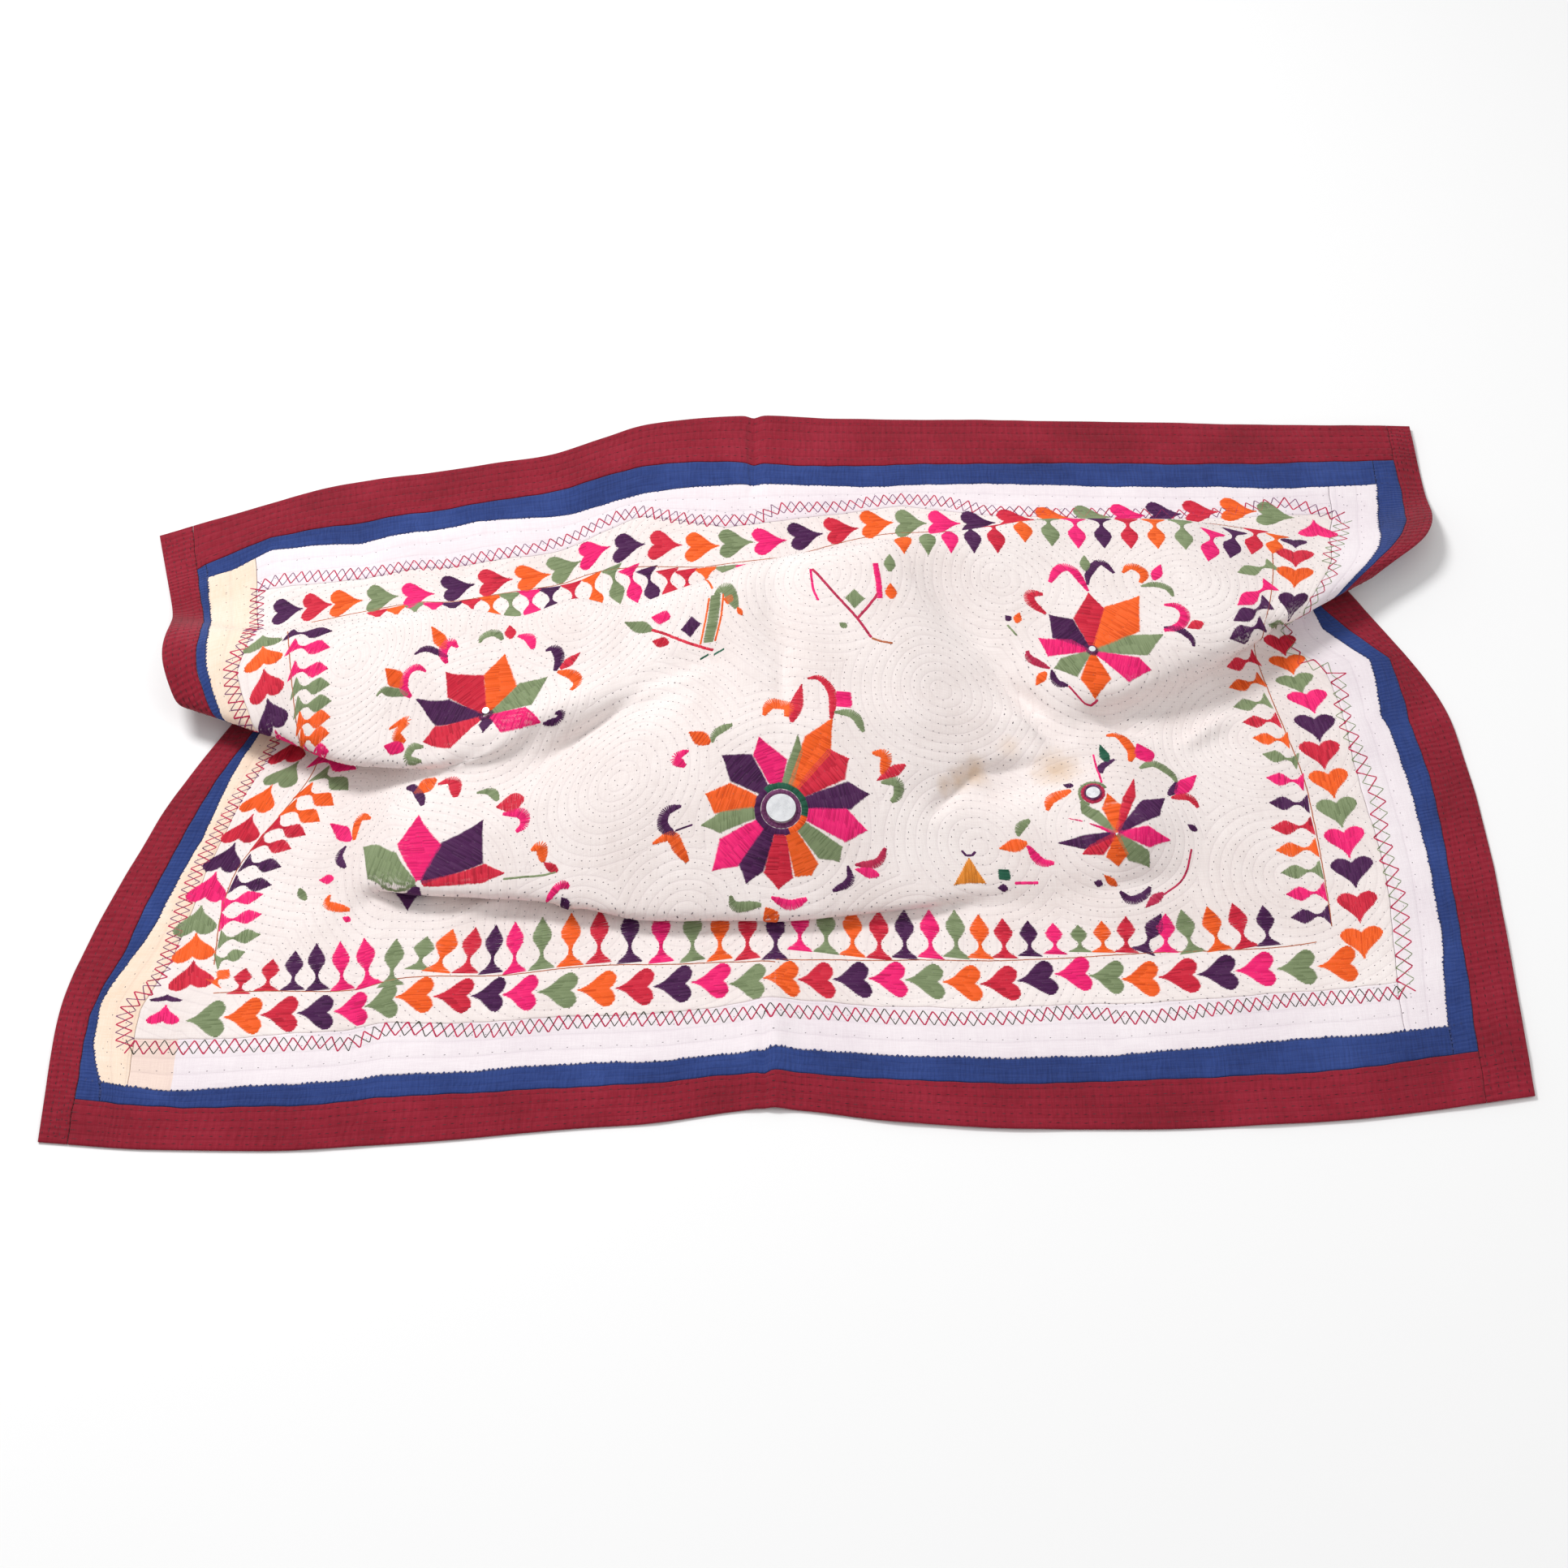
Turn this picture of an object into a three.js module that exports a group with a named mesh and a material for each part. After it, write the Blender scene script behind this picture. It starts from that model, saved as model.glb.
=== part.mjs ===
// An embroidered, quilted cotton cover, about 1.0 m by 0.72 m, lying crumpled on a flat surface.
// Lengths are in millimetres. +X runs to the cover's right, +Y to its far edge and +Z up.
// The origin is on the surface that the cover lies on, under the middle of its footprint.
//
// Every piece is a thin sheet cut out of one draped surface. A place on the cloth has two cloth
// coordinates: u runs from the left edge to the right one, and v from the front edge to the rear one,
// both measured along the cloth. The drape is a row of cross-sections from front to rear, and each
// section is a smooth curve past a few named places: flat apron, front fold, face, side fold, crest.

import * as THREE from "three";

// Driving sizes
const WIDTH = 1000;
const LENGTH = 720;
const SHEET = 2;
const GAP = 0.3;

// Widths of the sewn-on strips, from the outer edge inwards
const CRIMSON = { front: 37, rear: 48, left: 24, right: 28 };
const BLUE = { front: 20, rear: 19, left: 11, right: 16 };
const BAND = { front: 42, rear: 40, left: 28, right: 30 };

// Mirrors: middle in cloth coordinates, and radius
const MIRRORS = [
  { name: "mirror_centre", u: 497, v: 248, radius: 10.5 },
  { name: "mirror_front_right", u: 721, v: 272, radius: 5 },
  { name: "mirror_rear_left", u: 262, v: 385, radius: 2.5 },
  { name: "mirror_rear_right", u: 733, v: 407, radius: 2.5 },
];
const MIRROR_THICK = 1.2;
const MIRROR_LIFT = 0.8;
const MIRROR_SIDES = 28;

// Where the middle of the footprint lies in the sections' own coordinates
const FOOTPRINT = { x: 6.2, y: 33.54 };

// The drape's cross-sections. Each row is one section, at u across the cloth. Its places are x, y, z of
// the middle of the sheet: the front edge, the apron that lies flat, the foot and lip of the front
// fold, the face, the foot and lip of the side fold, the brow and crest of the long roll, its heel on
// the surface, and the rear edge. A foot further back than its lip makes the cloth lie over itself.
const SECTIONS = [
  { u: 0, front: [-497, -312, 1], apron: [-501, -200, 1], frontFoot: [-484, -130, 1],
    frontLip: [-470, -85, 1], face: [-445, -10, 1], sideFoot: [-390, 100, 1], sideLip: [-448, 52, 28],
    brow: [-466, 90, 42], crest: [-462, 122, 36], heel: [-470, 168, 2], rear: [-492, 252, 4] },
  { u: 75, front: [-421, -318, 1], apron: [-424, -200, 1], frontFoot: [-411, -130, 1],
    frontLip: [-402, -85, 1], face: [-380, -10, 2], sideFoot: [-350, 64, 2], sideLip: [-366, 16, 32],
    brow: [-380, 68, 48], crest: [-386, 116, 44], heel: [-395, 148, 1], rear: [-416, 285, 3] },
  { u: 150, front: [-345, -319, 1], apron: [-345, -200, 1], frontFoot: [-338, -130, 1],
    frontLip: [-333, -90, 2], face: [-322, -35, 6], sideFoot: [-296, 22, 10], sideLip: [-312, -12, 38],
    brow: [-308, 66, 54], crest: [-312, 120, 56], heel: [-325, 154, 1], rear: [-348, 312, 3] },
  { u: 230, front: [-266, -314, 1], apron: [-266, -200, 1], frontFoot: [-266, -92, 1],
    frontLip: [-268, -116, 20], face: [-266, -56, 30], sideFoot: [-250, -8, 28], sideLip: [-252, -18, 42],
    brow: [-242, 74, 55], crest: [-241, 126, 60], heel: [-252, 162, 1], rear: [-277, 324, 4] },
  { u: 272, front: [-219, -310, 1], apron: [-219, -200, 1], frontFoot: [-219, -93, 1],
    frontLip: [-220, -120, 20], face: [-218, -53, 36], sideFoot: [-207, 2, 37], sideLip: [-208, 4, 48],
    brow: [-200, 70, 56], crest: [-199, 118, 58], heel: [-211, 156, 1], rear: [-235, 333, 5] },
  { u: 320, front: [-175, -305, 1], apron: [-175, -200, 1], frontFoot: [-175, -94, 1],
    frontLip: [-176, -124, 20], face: [-172, -50, 42], sideFoot: [-166, 10, 46], sideLip: [-160, 24, 54],
    brow: [-154, 82, 60], crest: [-152, 134, 64], heel: [-165, 170, 1], rear: [-188, 342, 6] },
  { u: 360, front: [-135, -301, 1], apron: [-135, -200, 1], frontFoot: [-136, -105, 1],
    frontLip: [-137, -131, 18], face: [-134, -55, 44], sideFoot: [-129, 5, 52], sideLip: [-124, 27, 57],
    brow: [-119, 80, 60], crest: [-118, 124, 64], heel: [-130, 164, 1], rear: [-148, 360, 7] },
  { u: 400, front: [-95, -298, 1], apron: [-96, -200, 1], frontFoot: [-98, -116, 1],
    frontLip: [-98, -138, 16], face: [-96, -60, 46], sideFoot: [-92, 0, 58], sideLip: [-88, 30, 60],
    brow: [-84, 88, 64], crest: [-84, 134, 71], heel: [-95, 173, 1], rear: [-108, 376, 8] },
  { u: 490, front: [-9, -286, 1], apron: [-9, -200, 1], frontFoot: [-9, -120, 1],
    frontLip: [-9, -138, 14], face: [-9, -60, 50], sideFoot: [-9, 0, 64], sideLip: [-9, 40, 68],
    brow: [-9, 104, 72], crest: [-9, 163, 82], heel: [-10, 204, 1], rear: [-14, 386, 6] },
  { u: 580, front: [82, -297, 1], apron: [82, -200, 1], frontFoot: [82, -114, 1],
    frontLip: [82, -128, 12], face: [80, -55, 40], sideFoot: [80, 10, 56], sideLip: [80, 50, 62],
    brow: [80, 126, 69], crest: [80, 184, 79], heel: [78, 222, 1], rear: [74, 386, 3] },
  { u: 660, front: [164, -302, 1], apron: [164, -200, 1], frontFoot: [163, -108, 1],
    frontLip: [163, -106, 10], face: [160, -40, 28], sideFoot: [160, 25, 32], sideLip: [158, 60, 42],
    brow: [156, 140, 56], crest: [154, 210, 64], heel: [152, 244, 1], rear: [150, 386, 3] },
  { u: 735, front: [240, -302, 1], apron: [240, -200, 1], frontFoot: [238, -130, 1],
    frontLip: [238, -100, 6], face: [236, -40, 34], sideFoot: [232, 45, 22], sideLip: [230, 48, 46],
    brow: [230, 150, 52], crest: [230, 246, 36], heel: [230, 260, 1], rear: [226, 384, 3] },
  { u: 810, front: [316, -299, 1], apron: [316, -200, 1], frontFoot: [316, -130, 1],
    frontLip: [314, -90, 6], face: [310, -30, 14], sideFoot: [300, 80, 8], sideLip: [300, 78, 46],
    brow: [302, 155, 50], crest: [304, 248, 32], heel: [304, 262, 1], rear: [302, 382, 3] },
  { u: 870, front: [376, -295, 1], apron: [376, -200, 1], frontFoot: [376, -120, 1],
    frontLip: [374, -70, 2], face: [370, 10, 6], sideFoot: [350, 128, 2], sideLip: [352, 112, 40],
    brow: [364, 172, 38], crest: [366, 236, 22], heel: [364, 266, 2], rear: [364, 381, 3] },
  { u: 925, front: [431, -288, 1], apron: [431, -190, 1], frontFoot: [431, -110, 1],
    frontLip: [430, -50, 1], face: [424, 50, 2], sideFoot: [388, 168, 2], sideLip: [398, 146, 34],
    brow: [420, 188, 32], crest: [424, 226, 18], heel: [424, 262, 2], rear: [420, 380, 3] },
  { u: 1000, front: [506, -276, 1], apron: [508, -170, 1], frontFoot: [509, -80, 1],
    frontLip: [506, -10, 1], face: [496, 85, 1], sideFoot: [428, 212, 1], sideLip: [450, 188, 22],
    brow: [500, 225, 28], crest: [512, 262, 16], heel: [512, 296, 2], rear: [510, 378, 3] },
];

// Soft creases laid over the drape, one in each row: from one cloth place to another, with height (a
// trough where it is below 0) and half width. They fade out at both ends.
const CREASES = [
  { from: [490, -20], to: [490, 130], height: 5, spread: 13 },
  { from: [602, 470], to: [653, 395], height: -9, spread: 20 },
  { from: [652, 405], to: [694, 335], height: -11, spread: 15 },
  { from: [600, 268], to: [725, 306], height: -8, spread: 15 },
  { from: [272, 325], to: [431, 382], height: -8, spread: 18 },
  { from: [495, 330], to: [492, 470], height: -5, spread: 16 },
  { from: [250, 365], to: [345, 385], height: 7, spread: 15 },
  { from: [735, 262], to: [745, 205], height: 13, spread: 34 },
];

// How finely the sheet is divided
const COLUMN_STEP = 24;
const FACE_ROWS = 38;
const CURVE_STEPS = 16;
const EVEN_STEPS = 288;
const EASING_PASSES = 9;

const KEYS = Object.keys(SECTIONS[0]).filter((key) => key !== "u");

// The places that a section's curve passes, as one list of control points.
function controlPoints(section) {
  const places = Object.fromEntries(KEYS.map((key) => [key, new THREE.Vector3(...section[key])]));
  const between = (a, b, share) => places[a].clone().lerp(places[b], share);
  const raised = (place, other, share) => {
    const point = places[place].clone();
    point.z += (places[other].z - point.z) * share;
    return point;
  };
  return [
    places.front,
    between("front", "apron", 0.5),
    places.apron,
    between("apron", "frontFoot", 0.6),
    places.frontFoot,
    raised("frontFoot", "frontLip", 0.4),
    raised("frontLip", "frontFoot", 0.4),
    places.frontLip,
    between("frontLip", "face", 0.5),
    places.face,
    between("face", "sideFoot", 0.6),
    places.sideFoot,
    raised("sideFoot", "sideLip", 0.4),
    raised("sideLip", "sideFoot", 0.4),
    places.sideLip,
    places.brow,
    places.crest,
    between("crest", "heel", 0.55),
    places.heel,
    between("heel", "rear", 0.33),
    between("heel", "rear", 0.66),
    places.rear,
  ];
}

const STATIONS = SECTIONS.map((section) => section.u);
const CONTROLS = SECTIONS.map(controlPoints);
const SPANS = CONTROLS[0].length - 1;

// Slopes at the stations for a curve that never overshoots them.
function evenSlopes(values) {
  const last = values.length - 1;
  const steps = STATIONS.slice(1).map((station, i) => station - STATIONS[i]);
  const grades = steps.map((step, i) => (values[i + 1] - values[i]) / step);
  return values.map((value, i) => {
    if (i === 0) return grades[0];
    if (i === last) return grades[last - 1];
    if (grades[i - 1] * grades[i] <= 0) return 0;
    const before = 2 * steps[i] + steps[i - 1];
    const after = steps[i] + 2 * steps[i - 1];
    return (before + after) / (before / grades[i - 1] + after / grades[i]);
  });
}

const AXES = ["x", "y", "z"];
const SLOPES = CONTROLS[0].map((_, place) =>
  Object.fromEntries(AXES.map((axis) => [axis, evenSlopes(CONTROLS.map((row) => row[place][axis]))])),
);

// The control points of the section at any u, between the stations on both sides of it.
function controlsAt(u) {
  const found = STATIONS.findIndex((station) => station > u);
  const i = found < 1 ? STATIONS.length - 2 : found - 1;
  const step = STATIONS[i + 1] - STATIONS[i];
  const t = (u - STATIONS[i]) / step;
  const start = (1 + 2 * t) * (1 - t) ** 2;
  const end = t * t * (3 - 2 * t);
  const leave = t * (1 - t) ** 2 * step;
  const arrive = t * t * (t - 1) * step;
  return CONTROLS[i].map((point, place) => {
    const blended = AXES.map((axis) => {
      const slopes = SLOPES[place][axis];
      const ahead = CONTROLS[i + 1][place][axis];
      return start * point[axis] + end * ahead + leave * slopes[i] + arrive * slopes[i + 1];
    });
    return new THREE.Vector3(...blended);
  });
}

// A point on the smooth curve (a cubic B-spline) that the control points pull along, at 0 to SPANS.
function splinePoint(controls, where) {
  const i = Math.min(Math.floor(where), SPANS - 1);
  const t = where - i;
  const before = i > 0 ? controls[i - 1] : controls[0].clone().multiplyScalar(2).sub(controls[1]);
  const beyond = i + 2 <= SPANS
    ? controls[i + 2]
    : controls[SPANS].clone().multiplyScalar(2).sub(controls[SPANS - 1]);
  return new THREE.Vector3()
    .addScaledVector(before, (1 - t) ** 3 / 6)
    .addScaledVector(controls[i], (3 * t ** 3 - 6 * t ** 2 + 4) / 6)
    .addScaledVector(controls[i + 1], (-3 * t ** 3 + 3 * t ** 2 + 3 * t + 1) / 6)
    .addScaledVector(beyond, t ** 3 / 6);
}

// Where a rising list of values passes a given one, as a whole step and a part of the next.
function stepAt(values, value) {
  const found = values.findIndex((entry) => entry > value);
  const i = found < 1 ? values.length - 2 : found - 1;
  return i + (value - values[i]) / (values[i + 1] - values[i]);
}

// The value of a list at a step, whole and part.
function valueAt(values, step) {
  const i = Math.min(Math.floor(step), values.length - 2);
  return values[i] + (values[i + 1] - values[i]) * (step - i);
}

// The point of a list at a step, whole and part.
function placeAt(points, step) {
  const i = Math.min(Math.floor(step), points.length - 2);
  return points[i].clone().lerp(points[i + 1], step - i);
}

// The length along a line of points, up to each of them.
function lengthsAlong(points) {
  const along = [0];
  points.slice(1).forEach((point, i) => along.push(along[i] + point.distanceTo(points[i])));
  return along;
}

// The section at u, in even steps. Each pass over its points eases its tightest bends, as quilted cloth
// is stiff. Every point has its cloth coordinate v and its place on the spline.
function sectionCurve(u) {
  const controls = controlsAt(u);
  const count = SPANS * CURVE_STEPS;
  const raw = Array.from({ length: count + 1 }, (_, i) => splinePoint(controls, i / CURVE_STEPS));
  const along = lengthsAlong(raw);
  const evenStep = along[count] / EVEN_STEPS;
  const steps = Array.from({ length: EVEN_STEPS + 1 }, (_, i) => stepAt(along, evenStep * i));
  let points = steps.map((step) => placeAt(raw, step));
  for (let pass = 0; pass < EASING_PASSES; pass++) {
    points = points.map((point, i) => {
      if (i === 0 || i === EVEN_STEPS) return point;
      return point.clone().multiplyScalar(2).add(points[i - 1]).add(points[i + 1]).divideScalar(4);
    });
  }
  const eased = lengthsAlong(points);
  const scale = LENGTH / eased[EVEN_STEPS];
  const v = eased.map((distance) => distance * scale);
  return { points, v, spline: steps.map((step) => step / CURVE_STEPS) };
}

// How far the creases lift the cloth at u, v.
function creaseHeight(u, v) {
  const place = new THREE.Vector2(u, v);
  return CREASES.reduce((sum, crease) => {
    const from = new THREE.Vector2(...crease.from);
    const line = new THREE.Vector2(...crease.to).sub(from);
    const share = THREE.MathUtils.clamp(place.clone().sub(from).dot(line) / line.lengthSq(), 0, 1);
    const away = place.distanceTo(from.addScaledVector(line, share)) / crease.spread;
    const fade = Math.sin(Math.PI * (0.12 + 0.76 * share));
    return sum + crease.height * fade * Math.exp(-away * away);
  }, 0);
}

// Cuts a range into even steps no longer than a given one.
function evenCuts(start, end, longest) {
  const count = Math.max(1, Math.ceil((end - start) / longest));
  return Array.from({ length: count }, (_, i) => start + ((end - start) * i) / count);
}

// Seams across and along the cloth, from left to right and from front to rear
function seamsOf(side) {
  const inner = CRIMSON[side] + BLUE[side];
  return [0, CRIMSON[side], inner, inner + BAND[side]];
}
const farSeams = (side, size) => seamsOf(side).map((inset) => size - inset).reverse();
const U_SEAMS = [...seamsOf("left"), ...farSeams("right", WIDTH)];
const V_SEAMS = [...seamsOf("front"), ...farSeams("rear", LENGTH)];

// Grid columns, at even steps between the seams
const COLUMNS = U_SEAMS.slice(1).flatMap((seam, i) => evenCuts(U_SEAMS[i], seam, COLUMN_STEP));
COLUMNS.push(WIDTH);

// Grid rows: a row is a seam, or lies part of the way from one seam to the next along each section's own
// curve, so that the rows of the large middle panel close up in its folds.
const ROWS = V_SEAMS.slice(1).flatMap((seam, i) => {
  const middle = i === seamsOf("front").length - 1;
  const cuts = middle ? FACE_ROWS : Math.ceil((seam - V_SEAMS[i]) / COLUMN_STEP);
  return Array.from({ length: cuts }, (_, k) => ({ from: V_SEAMS[i], to: seam, share: k / cuts }));
});
ROWS.push({ from: LENGTH, to: LENGTH, share: 0 });

// The grid's places on the draped surface, before the creases
const BASE = COLUMNS.map((u) => {
  const curve = sectionCurve(u);
  const splineAt = (v) => valueAt(curve.spline, stepAt(curve.v, v));
  return ROWS.map((row) => {
    const start = splineAt(row.from);
    const step = stepAt(curve.spline, start + (splineAt(row.to) - start) * row.share);
    const point = placeAt(curve.points, step);
    point.x -= FOOTPRINT.x;
    point.y -= FOOTPRINT.y;
    return { point, u, v: valueAt(curve.v, step) };
  });
});

// The unit normal of a grid of points at one column and row.
function gridNormal(grid, column, row) {
  const pick = (i, j) => grid[THREE.MathUtils.clamp(i, 0, grid.length - 1)][
    THREE.MathUtils.clamp(j, 0, grid[0].length - 1)];
  const across = pick(column + 1, row).clone().sub(pick(column - 1, row));
  const along = pick(column, row + 1).clone().sub(pick(column, row - 1));
  return across.cross(along).normalize();
}

// The middle of the sheet with its creases, never lower than the sheet can lie.
const BASE_POINTS = BASE.map((column) => column.map((place) => place.point));
const MIDDLE = BASE.map((column, i) =>
  column.map(({ point, u, v }, j) => {
    const lifted = point.clone().addScaledVector(gridNormal(BASE_POINTS, i, j), creaseHeight(u, v));
    lifted.z = Math.max(lifted.z, SHEET / 2);
    return lifted;
  }),
);
const NORMALS = MIDDLE.map((column, i) => column.map((_, j) => gridNormal(MIDDLE, i, j)));

// The unit direction in the sheet, square to a seam that runs along v (towards higher u) or along u
// (towards higher v).
function seamSide(column, row, along) {
  const normal = NORMALS[column][row];
  if (along === "v") {
    const ahead = MIDDLE[column][Math.min(row + 1, ROWS.length - 1)];
    return ahead.clone().sub(MIDDLE[column][Math.max(row - 1, 0)]).cross(normal).normalize();
  }
  const ahead = MIDDLE[Math.min(column + 1, COLUMNS.length - 1)][row];
  return normal.clone().cross(ahead.clone().sub(MIDDLE[Math.max(column - 1, 0)][row])).normalize();
}

// A closed sheet over the grid's columns and rows between two seams each way. Its sewn sides stand
// half a gap back from the seam.
function sheetGeometry(columnRange, rowRange) {
  const [c0, c1] = columnRange;
  const [r0, r1] = rowRange;
  const across = c1 - c0 + 1;
  const along = r1 - r0 + 1;
  const positions = [];
  [SHEET / 2, -SHEET / 2].forEach((offset) => {
    for (let i = c0; i <= c1; i++) {
      for (let j = r0; j <= r1; j++) {
        const point = MIDDLE[i][j].clone().addScaledVector(NORMALS[i][j], offset);
        if (i === c0 && i > 0) point.addScaledVector(seamSide(i, j, "v"), GAP / 2);
        if (i === c1 && i < COLUMNS.length - 1) point.addScaledVector(seamSide(i, j, "v"), -GAP / 2);
        if (j === r0 && j > 0) point.addScaledVector(seamSide(i, j, "u"), GAP / 2);
        if (j === r1 && j < ROWS.length - 1) point.addScaledVector(seamSide(i, j, "u"), -GAP / 2);
        positions.push(point.x, point.y, Math.max(point.z, 0));
      }
    }
  });
  const index = [];
  const under = across * along;
  const at = (i, j) => i * along + j;
  const quad = (a, b, c, d) => index.push(a, b, c, a, c, d);
  for (let i = 0; i < across - 1; i++) {
    for (let j = 0; j < along - 1; j++) {
      quad(at(i, j), at(i + 1, j), at(i + 1, j + 1), at(i, j + 1));
      quad(under + at(i, j), under + at(i, j + 1), under + at(i + 1, j + 1), under + at(i + 1, j));
    }
  }
  // Both sheets of a seam split its wall along the same diagonal, so that the two walls stay parallel.
  const wall = (a, b) => quad(a, under + a, under + b, b);
  const farWall = (a, b) => quad(a, b, under + b, under + a);
  for (let i = 0; i < across - 1; i++) {
    wall(at(i, 0), at(i + 1, 0));
    farWall(at(i, along - 1), at(i + 1, along - 1));
  }
  for (let j = 0; j < along - 1; j++) {
    farWall(at(0, j), at(0, j + 1));
    wall(at(across - 1, j), at(across - 1, j + 1));
  }
  const geometry = new THREE.BufferGeometry();
  geometry.setAttribute("position", new THREE.Float32BufferAttribute(positions, 3));
  geometry.setIndex(index);
  geometry.computeVertexNormals();
  return geometry;
}

const cream = new THREE.MeshStandardMaterial({ color: 0xf3e9e2, roughness: 0.95, metalness: 0 });
const white = new THREE.MeshStandardMaterial({ color: 0xf6f0ef, roughness: 0.95, metalness: 0 });
const peach = new THREE.MeshStandardMaterial({ color: 0xf7e4d2, roughness: 0.95, metalness: 0 });
const blue = new THREE.MeshStandardMaterial({ color: 0x344a88, roughness: 0.9, metalness: 0 });
const crimson = new THREE.MeshStandardMaterial({ color: 0x9a2138, roughness: 0.9, metalness: 0 });
const silvered = new THREE.MeshStandardMaterial({ color: 0xe6eaec, roughness: 0.08, metalness: 1 });

const cover = new THREE.Group();

// Adds a sheet between two numbered seams each way.
function addSheet(name, material, uSeams, vSeams) {
  const columns = uSeams.map((seam) => COLUMNS.indexOf(U_SEAMS[seam]));
  const rows = vSeams.map((seam) => ROWS.findIndex((row) => row.from === V_SEAMS[seam]));
  const sheet = new THREE.Mesh(sheetGeometry(columns, rows), material);
  sheet.name = name;
  cover.add(sheet);
}

// Each ring of strips has its side strips run the whole way, and the front and rear ones between them.
function addRing(name, ring, sides) {
  const far = U_SEAMS.length - 1 - ring;
  const rear = V_SEAMS.length - 1 - ring;
  addSheet(`${name}_left`, sides.left, [ring, ring + 1], [ring, rear]);
  addSheet(`${name}_right`, sides.right, [far - 1, far], [ring, rear]);
  addSheet(`${name}_front`, sides.front, [ring + 1, far - 1], [ring, ring + 1]);
  addSheet(`${name}_rear`, sides.rear, [ring + 1, far - 1], [rear - 1, rear]);
}

addRing("crimson", 0, { left: crimson, right: crimson, front: crimson, rear: crimson });
addRing("blue", 1, { left: blue, right: blue, front: blue, rear: blue });
addRing("band", 2, { left: peach, right: white, front: white, rear: white });
addSheet("ground", cream, [3, U_SEAMS.length - 4], [3, V_SEAMS.length - 4]);

// Which entry of a list of numbers is nearest to a value.
function nearestIndex(values, value) {
  const away = values.map((entry) => Math.abs(entry - value));
  return away.indexOf(Math.min(...away));
}

// A thin round mirror that lies on the cloth, tilted as the cloth is under it.
function addMirror({ name, u, v, radius }) {
  const column = nearestIndex(COLUMNS, u);
  const row = nearestIndex(BASE[column].map((place) => place.v), v);
  const normal = NORMALS[column][row];
  const acrossStep = MIDDLE[column + 1][row].clone().sub(MIDDLE[column - 1][row]);
  const alongStep = MIDDLE[column][row + 1].clone().sub(MIDDLE[column][row - 1]);
  const acrossShare = (u - COLUMNS[column]) / (COLUMNS[column + 1] - COLUMNS[column - 1]);
  const alongShare = (v - BASE[column][row].v) / (BASE[column][row + 1].v - BASE[column][row - 1].v);
  const mirror = new THREE.Mesh(
    new THREE.CylinderGeometry(radius, radius, MIRROR_THICK, MIRROR_SIDES).rotateX(Math.PI / 2),
    silvered,
  );
  mirror.position
    .copy(MIDDLE[column][row])
    .addScaledVector(acrossStep, acrossShare)
    .addScaledVector(alongStep, alongShare)
    .addScaledVector(normal, SHEET / 2 + MIRROR_LIFT + MIRROR_THICK / 2);
  mirror.quaternion.setFromUnitVectors(new THREE.Vector3(0, 0, 1), normal);
  mirror.name = name;
  cover.add(mirror);
}

MIRRORS.forEach(addMirror);

export default cover;
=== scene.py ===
"""An embroidered, quilted cotton cover, about 1.0 m by 0.72 m, lying crumpled on a flat surface.

Places on the cloth have two cloth coordinates in millimetres: u runs from the left edge to the right
one, and v from the front edge to the rear one, both along the cloth. The draped surface is worked out
once on a fine grid, and every sheet, stitch and mirror is laid on it by its u and v.
"""

import math
import re

import bpy
import numpy as np
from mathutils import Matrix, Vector


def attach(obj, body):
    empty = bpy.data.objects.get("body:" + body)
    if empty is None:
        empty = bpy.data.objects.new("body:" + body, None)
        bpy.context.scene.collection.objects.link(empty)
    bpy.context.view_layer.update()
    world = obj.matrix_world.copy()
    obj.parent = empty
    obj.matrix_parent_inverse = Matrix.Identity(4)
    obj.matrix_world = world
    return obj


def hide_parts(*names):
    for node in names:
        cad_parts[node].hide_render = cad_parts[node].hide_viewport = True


MM = 0.001

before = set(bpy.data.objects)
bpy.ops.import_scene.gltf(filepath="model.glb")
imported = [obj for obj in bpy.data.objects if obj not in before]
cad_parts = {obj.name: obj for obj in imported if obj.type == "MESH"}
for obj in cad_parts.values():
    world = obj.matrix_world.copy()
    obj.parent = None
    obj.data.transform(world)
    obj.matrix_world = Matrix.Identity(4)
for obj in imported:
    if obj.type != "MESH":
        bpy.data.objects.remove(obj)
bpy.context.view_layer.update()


def table(columns, *rows):
    """Rows with named columns."""
    return [dict(zip(columns.split(), row)) for row in rows]


def cell(text):
    """One value of a chart: a word, a number, a place "x,y" or "x,y,z", or a path of places "x,y/x,y"."""
    if "/" in text:
        return [cell(part) for part in text.split("/")]
    if "," in text:
        return tuple(cell(part) for part in text.split(","))
    try:
        return float(text)
    except ValueError:
        return text


def chart(columns, text):
    """Rows with named columns, from text with spaces between the values. A path that ends a line with a
    stroke goes on in the next line."""
    names = columns.split()
    values = [cell(part) for part in re.sub(r"/\s+", "/", text).split()]
    return [dict(zip(names, values[i:i + len(names)])) for i in range(0, len(values), len(names))]


def charts(columns, **texts):
    """Several charts with the same columns, by their names."""
    return {name: chart(columns, text) for name, text in texts.items()}


# Driving sizes of the cloth
WIDTH = 1000.0
LENGTH = 720.0
SHEET = 2.0
GAP = 0.3
CRIMSON = {"front": 37, "rear": 48, "left": 24, "right": 28}
BLUE = {"front": 20, "rear": 19, "left": 11, "right": 16}
BAND = {"front": 42, "rear": 40, "left": 28, "right": 30}
SIDES = ("front", "rear", "left", "right")

# Where the middle of the footprint lies in the sections' own coordinates
FOOTPRINT = np.array([6.2, 33.54, 0.0])

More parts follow.
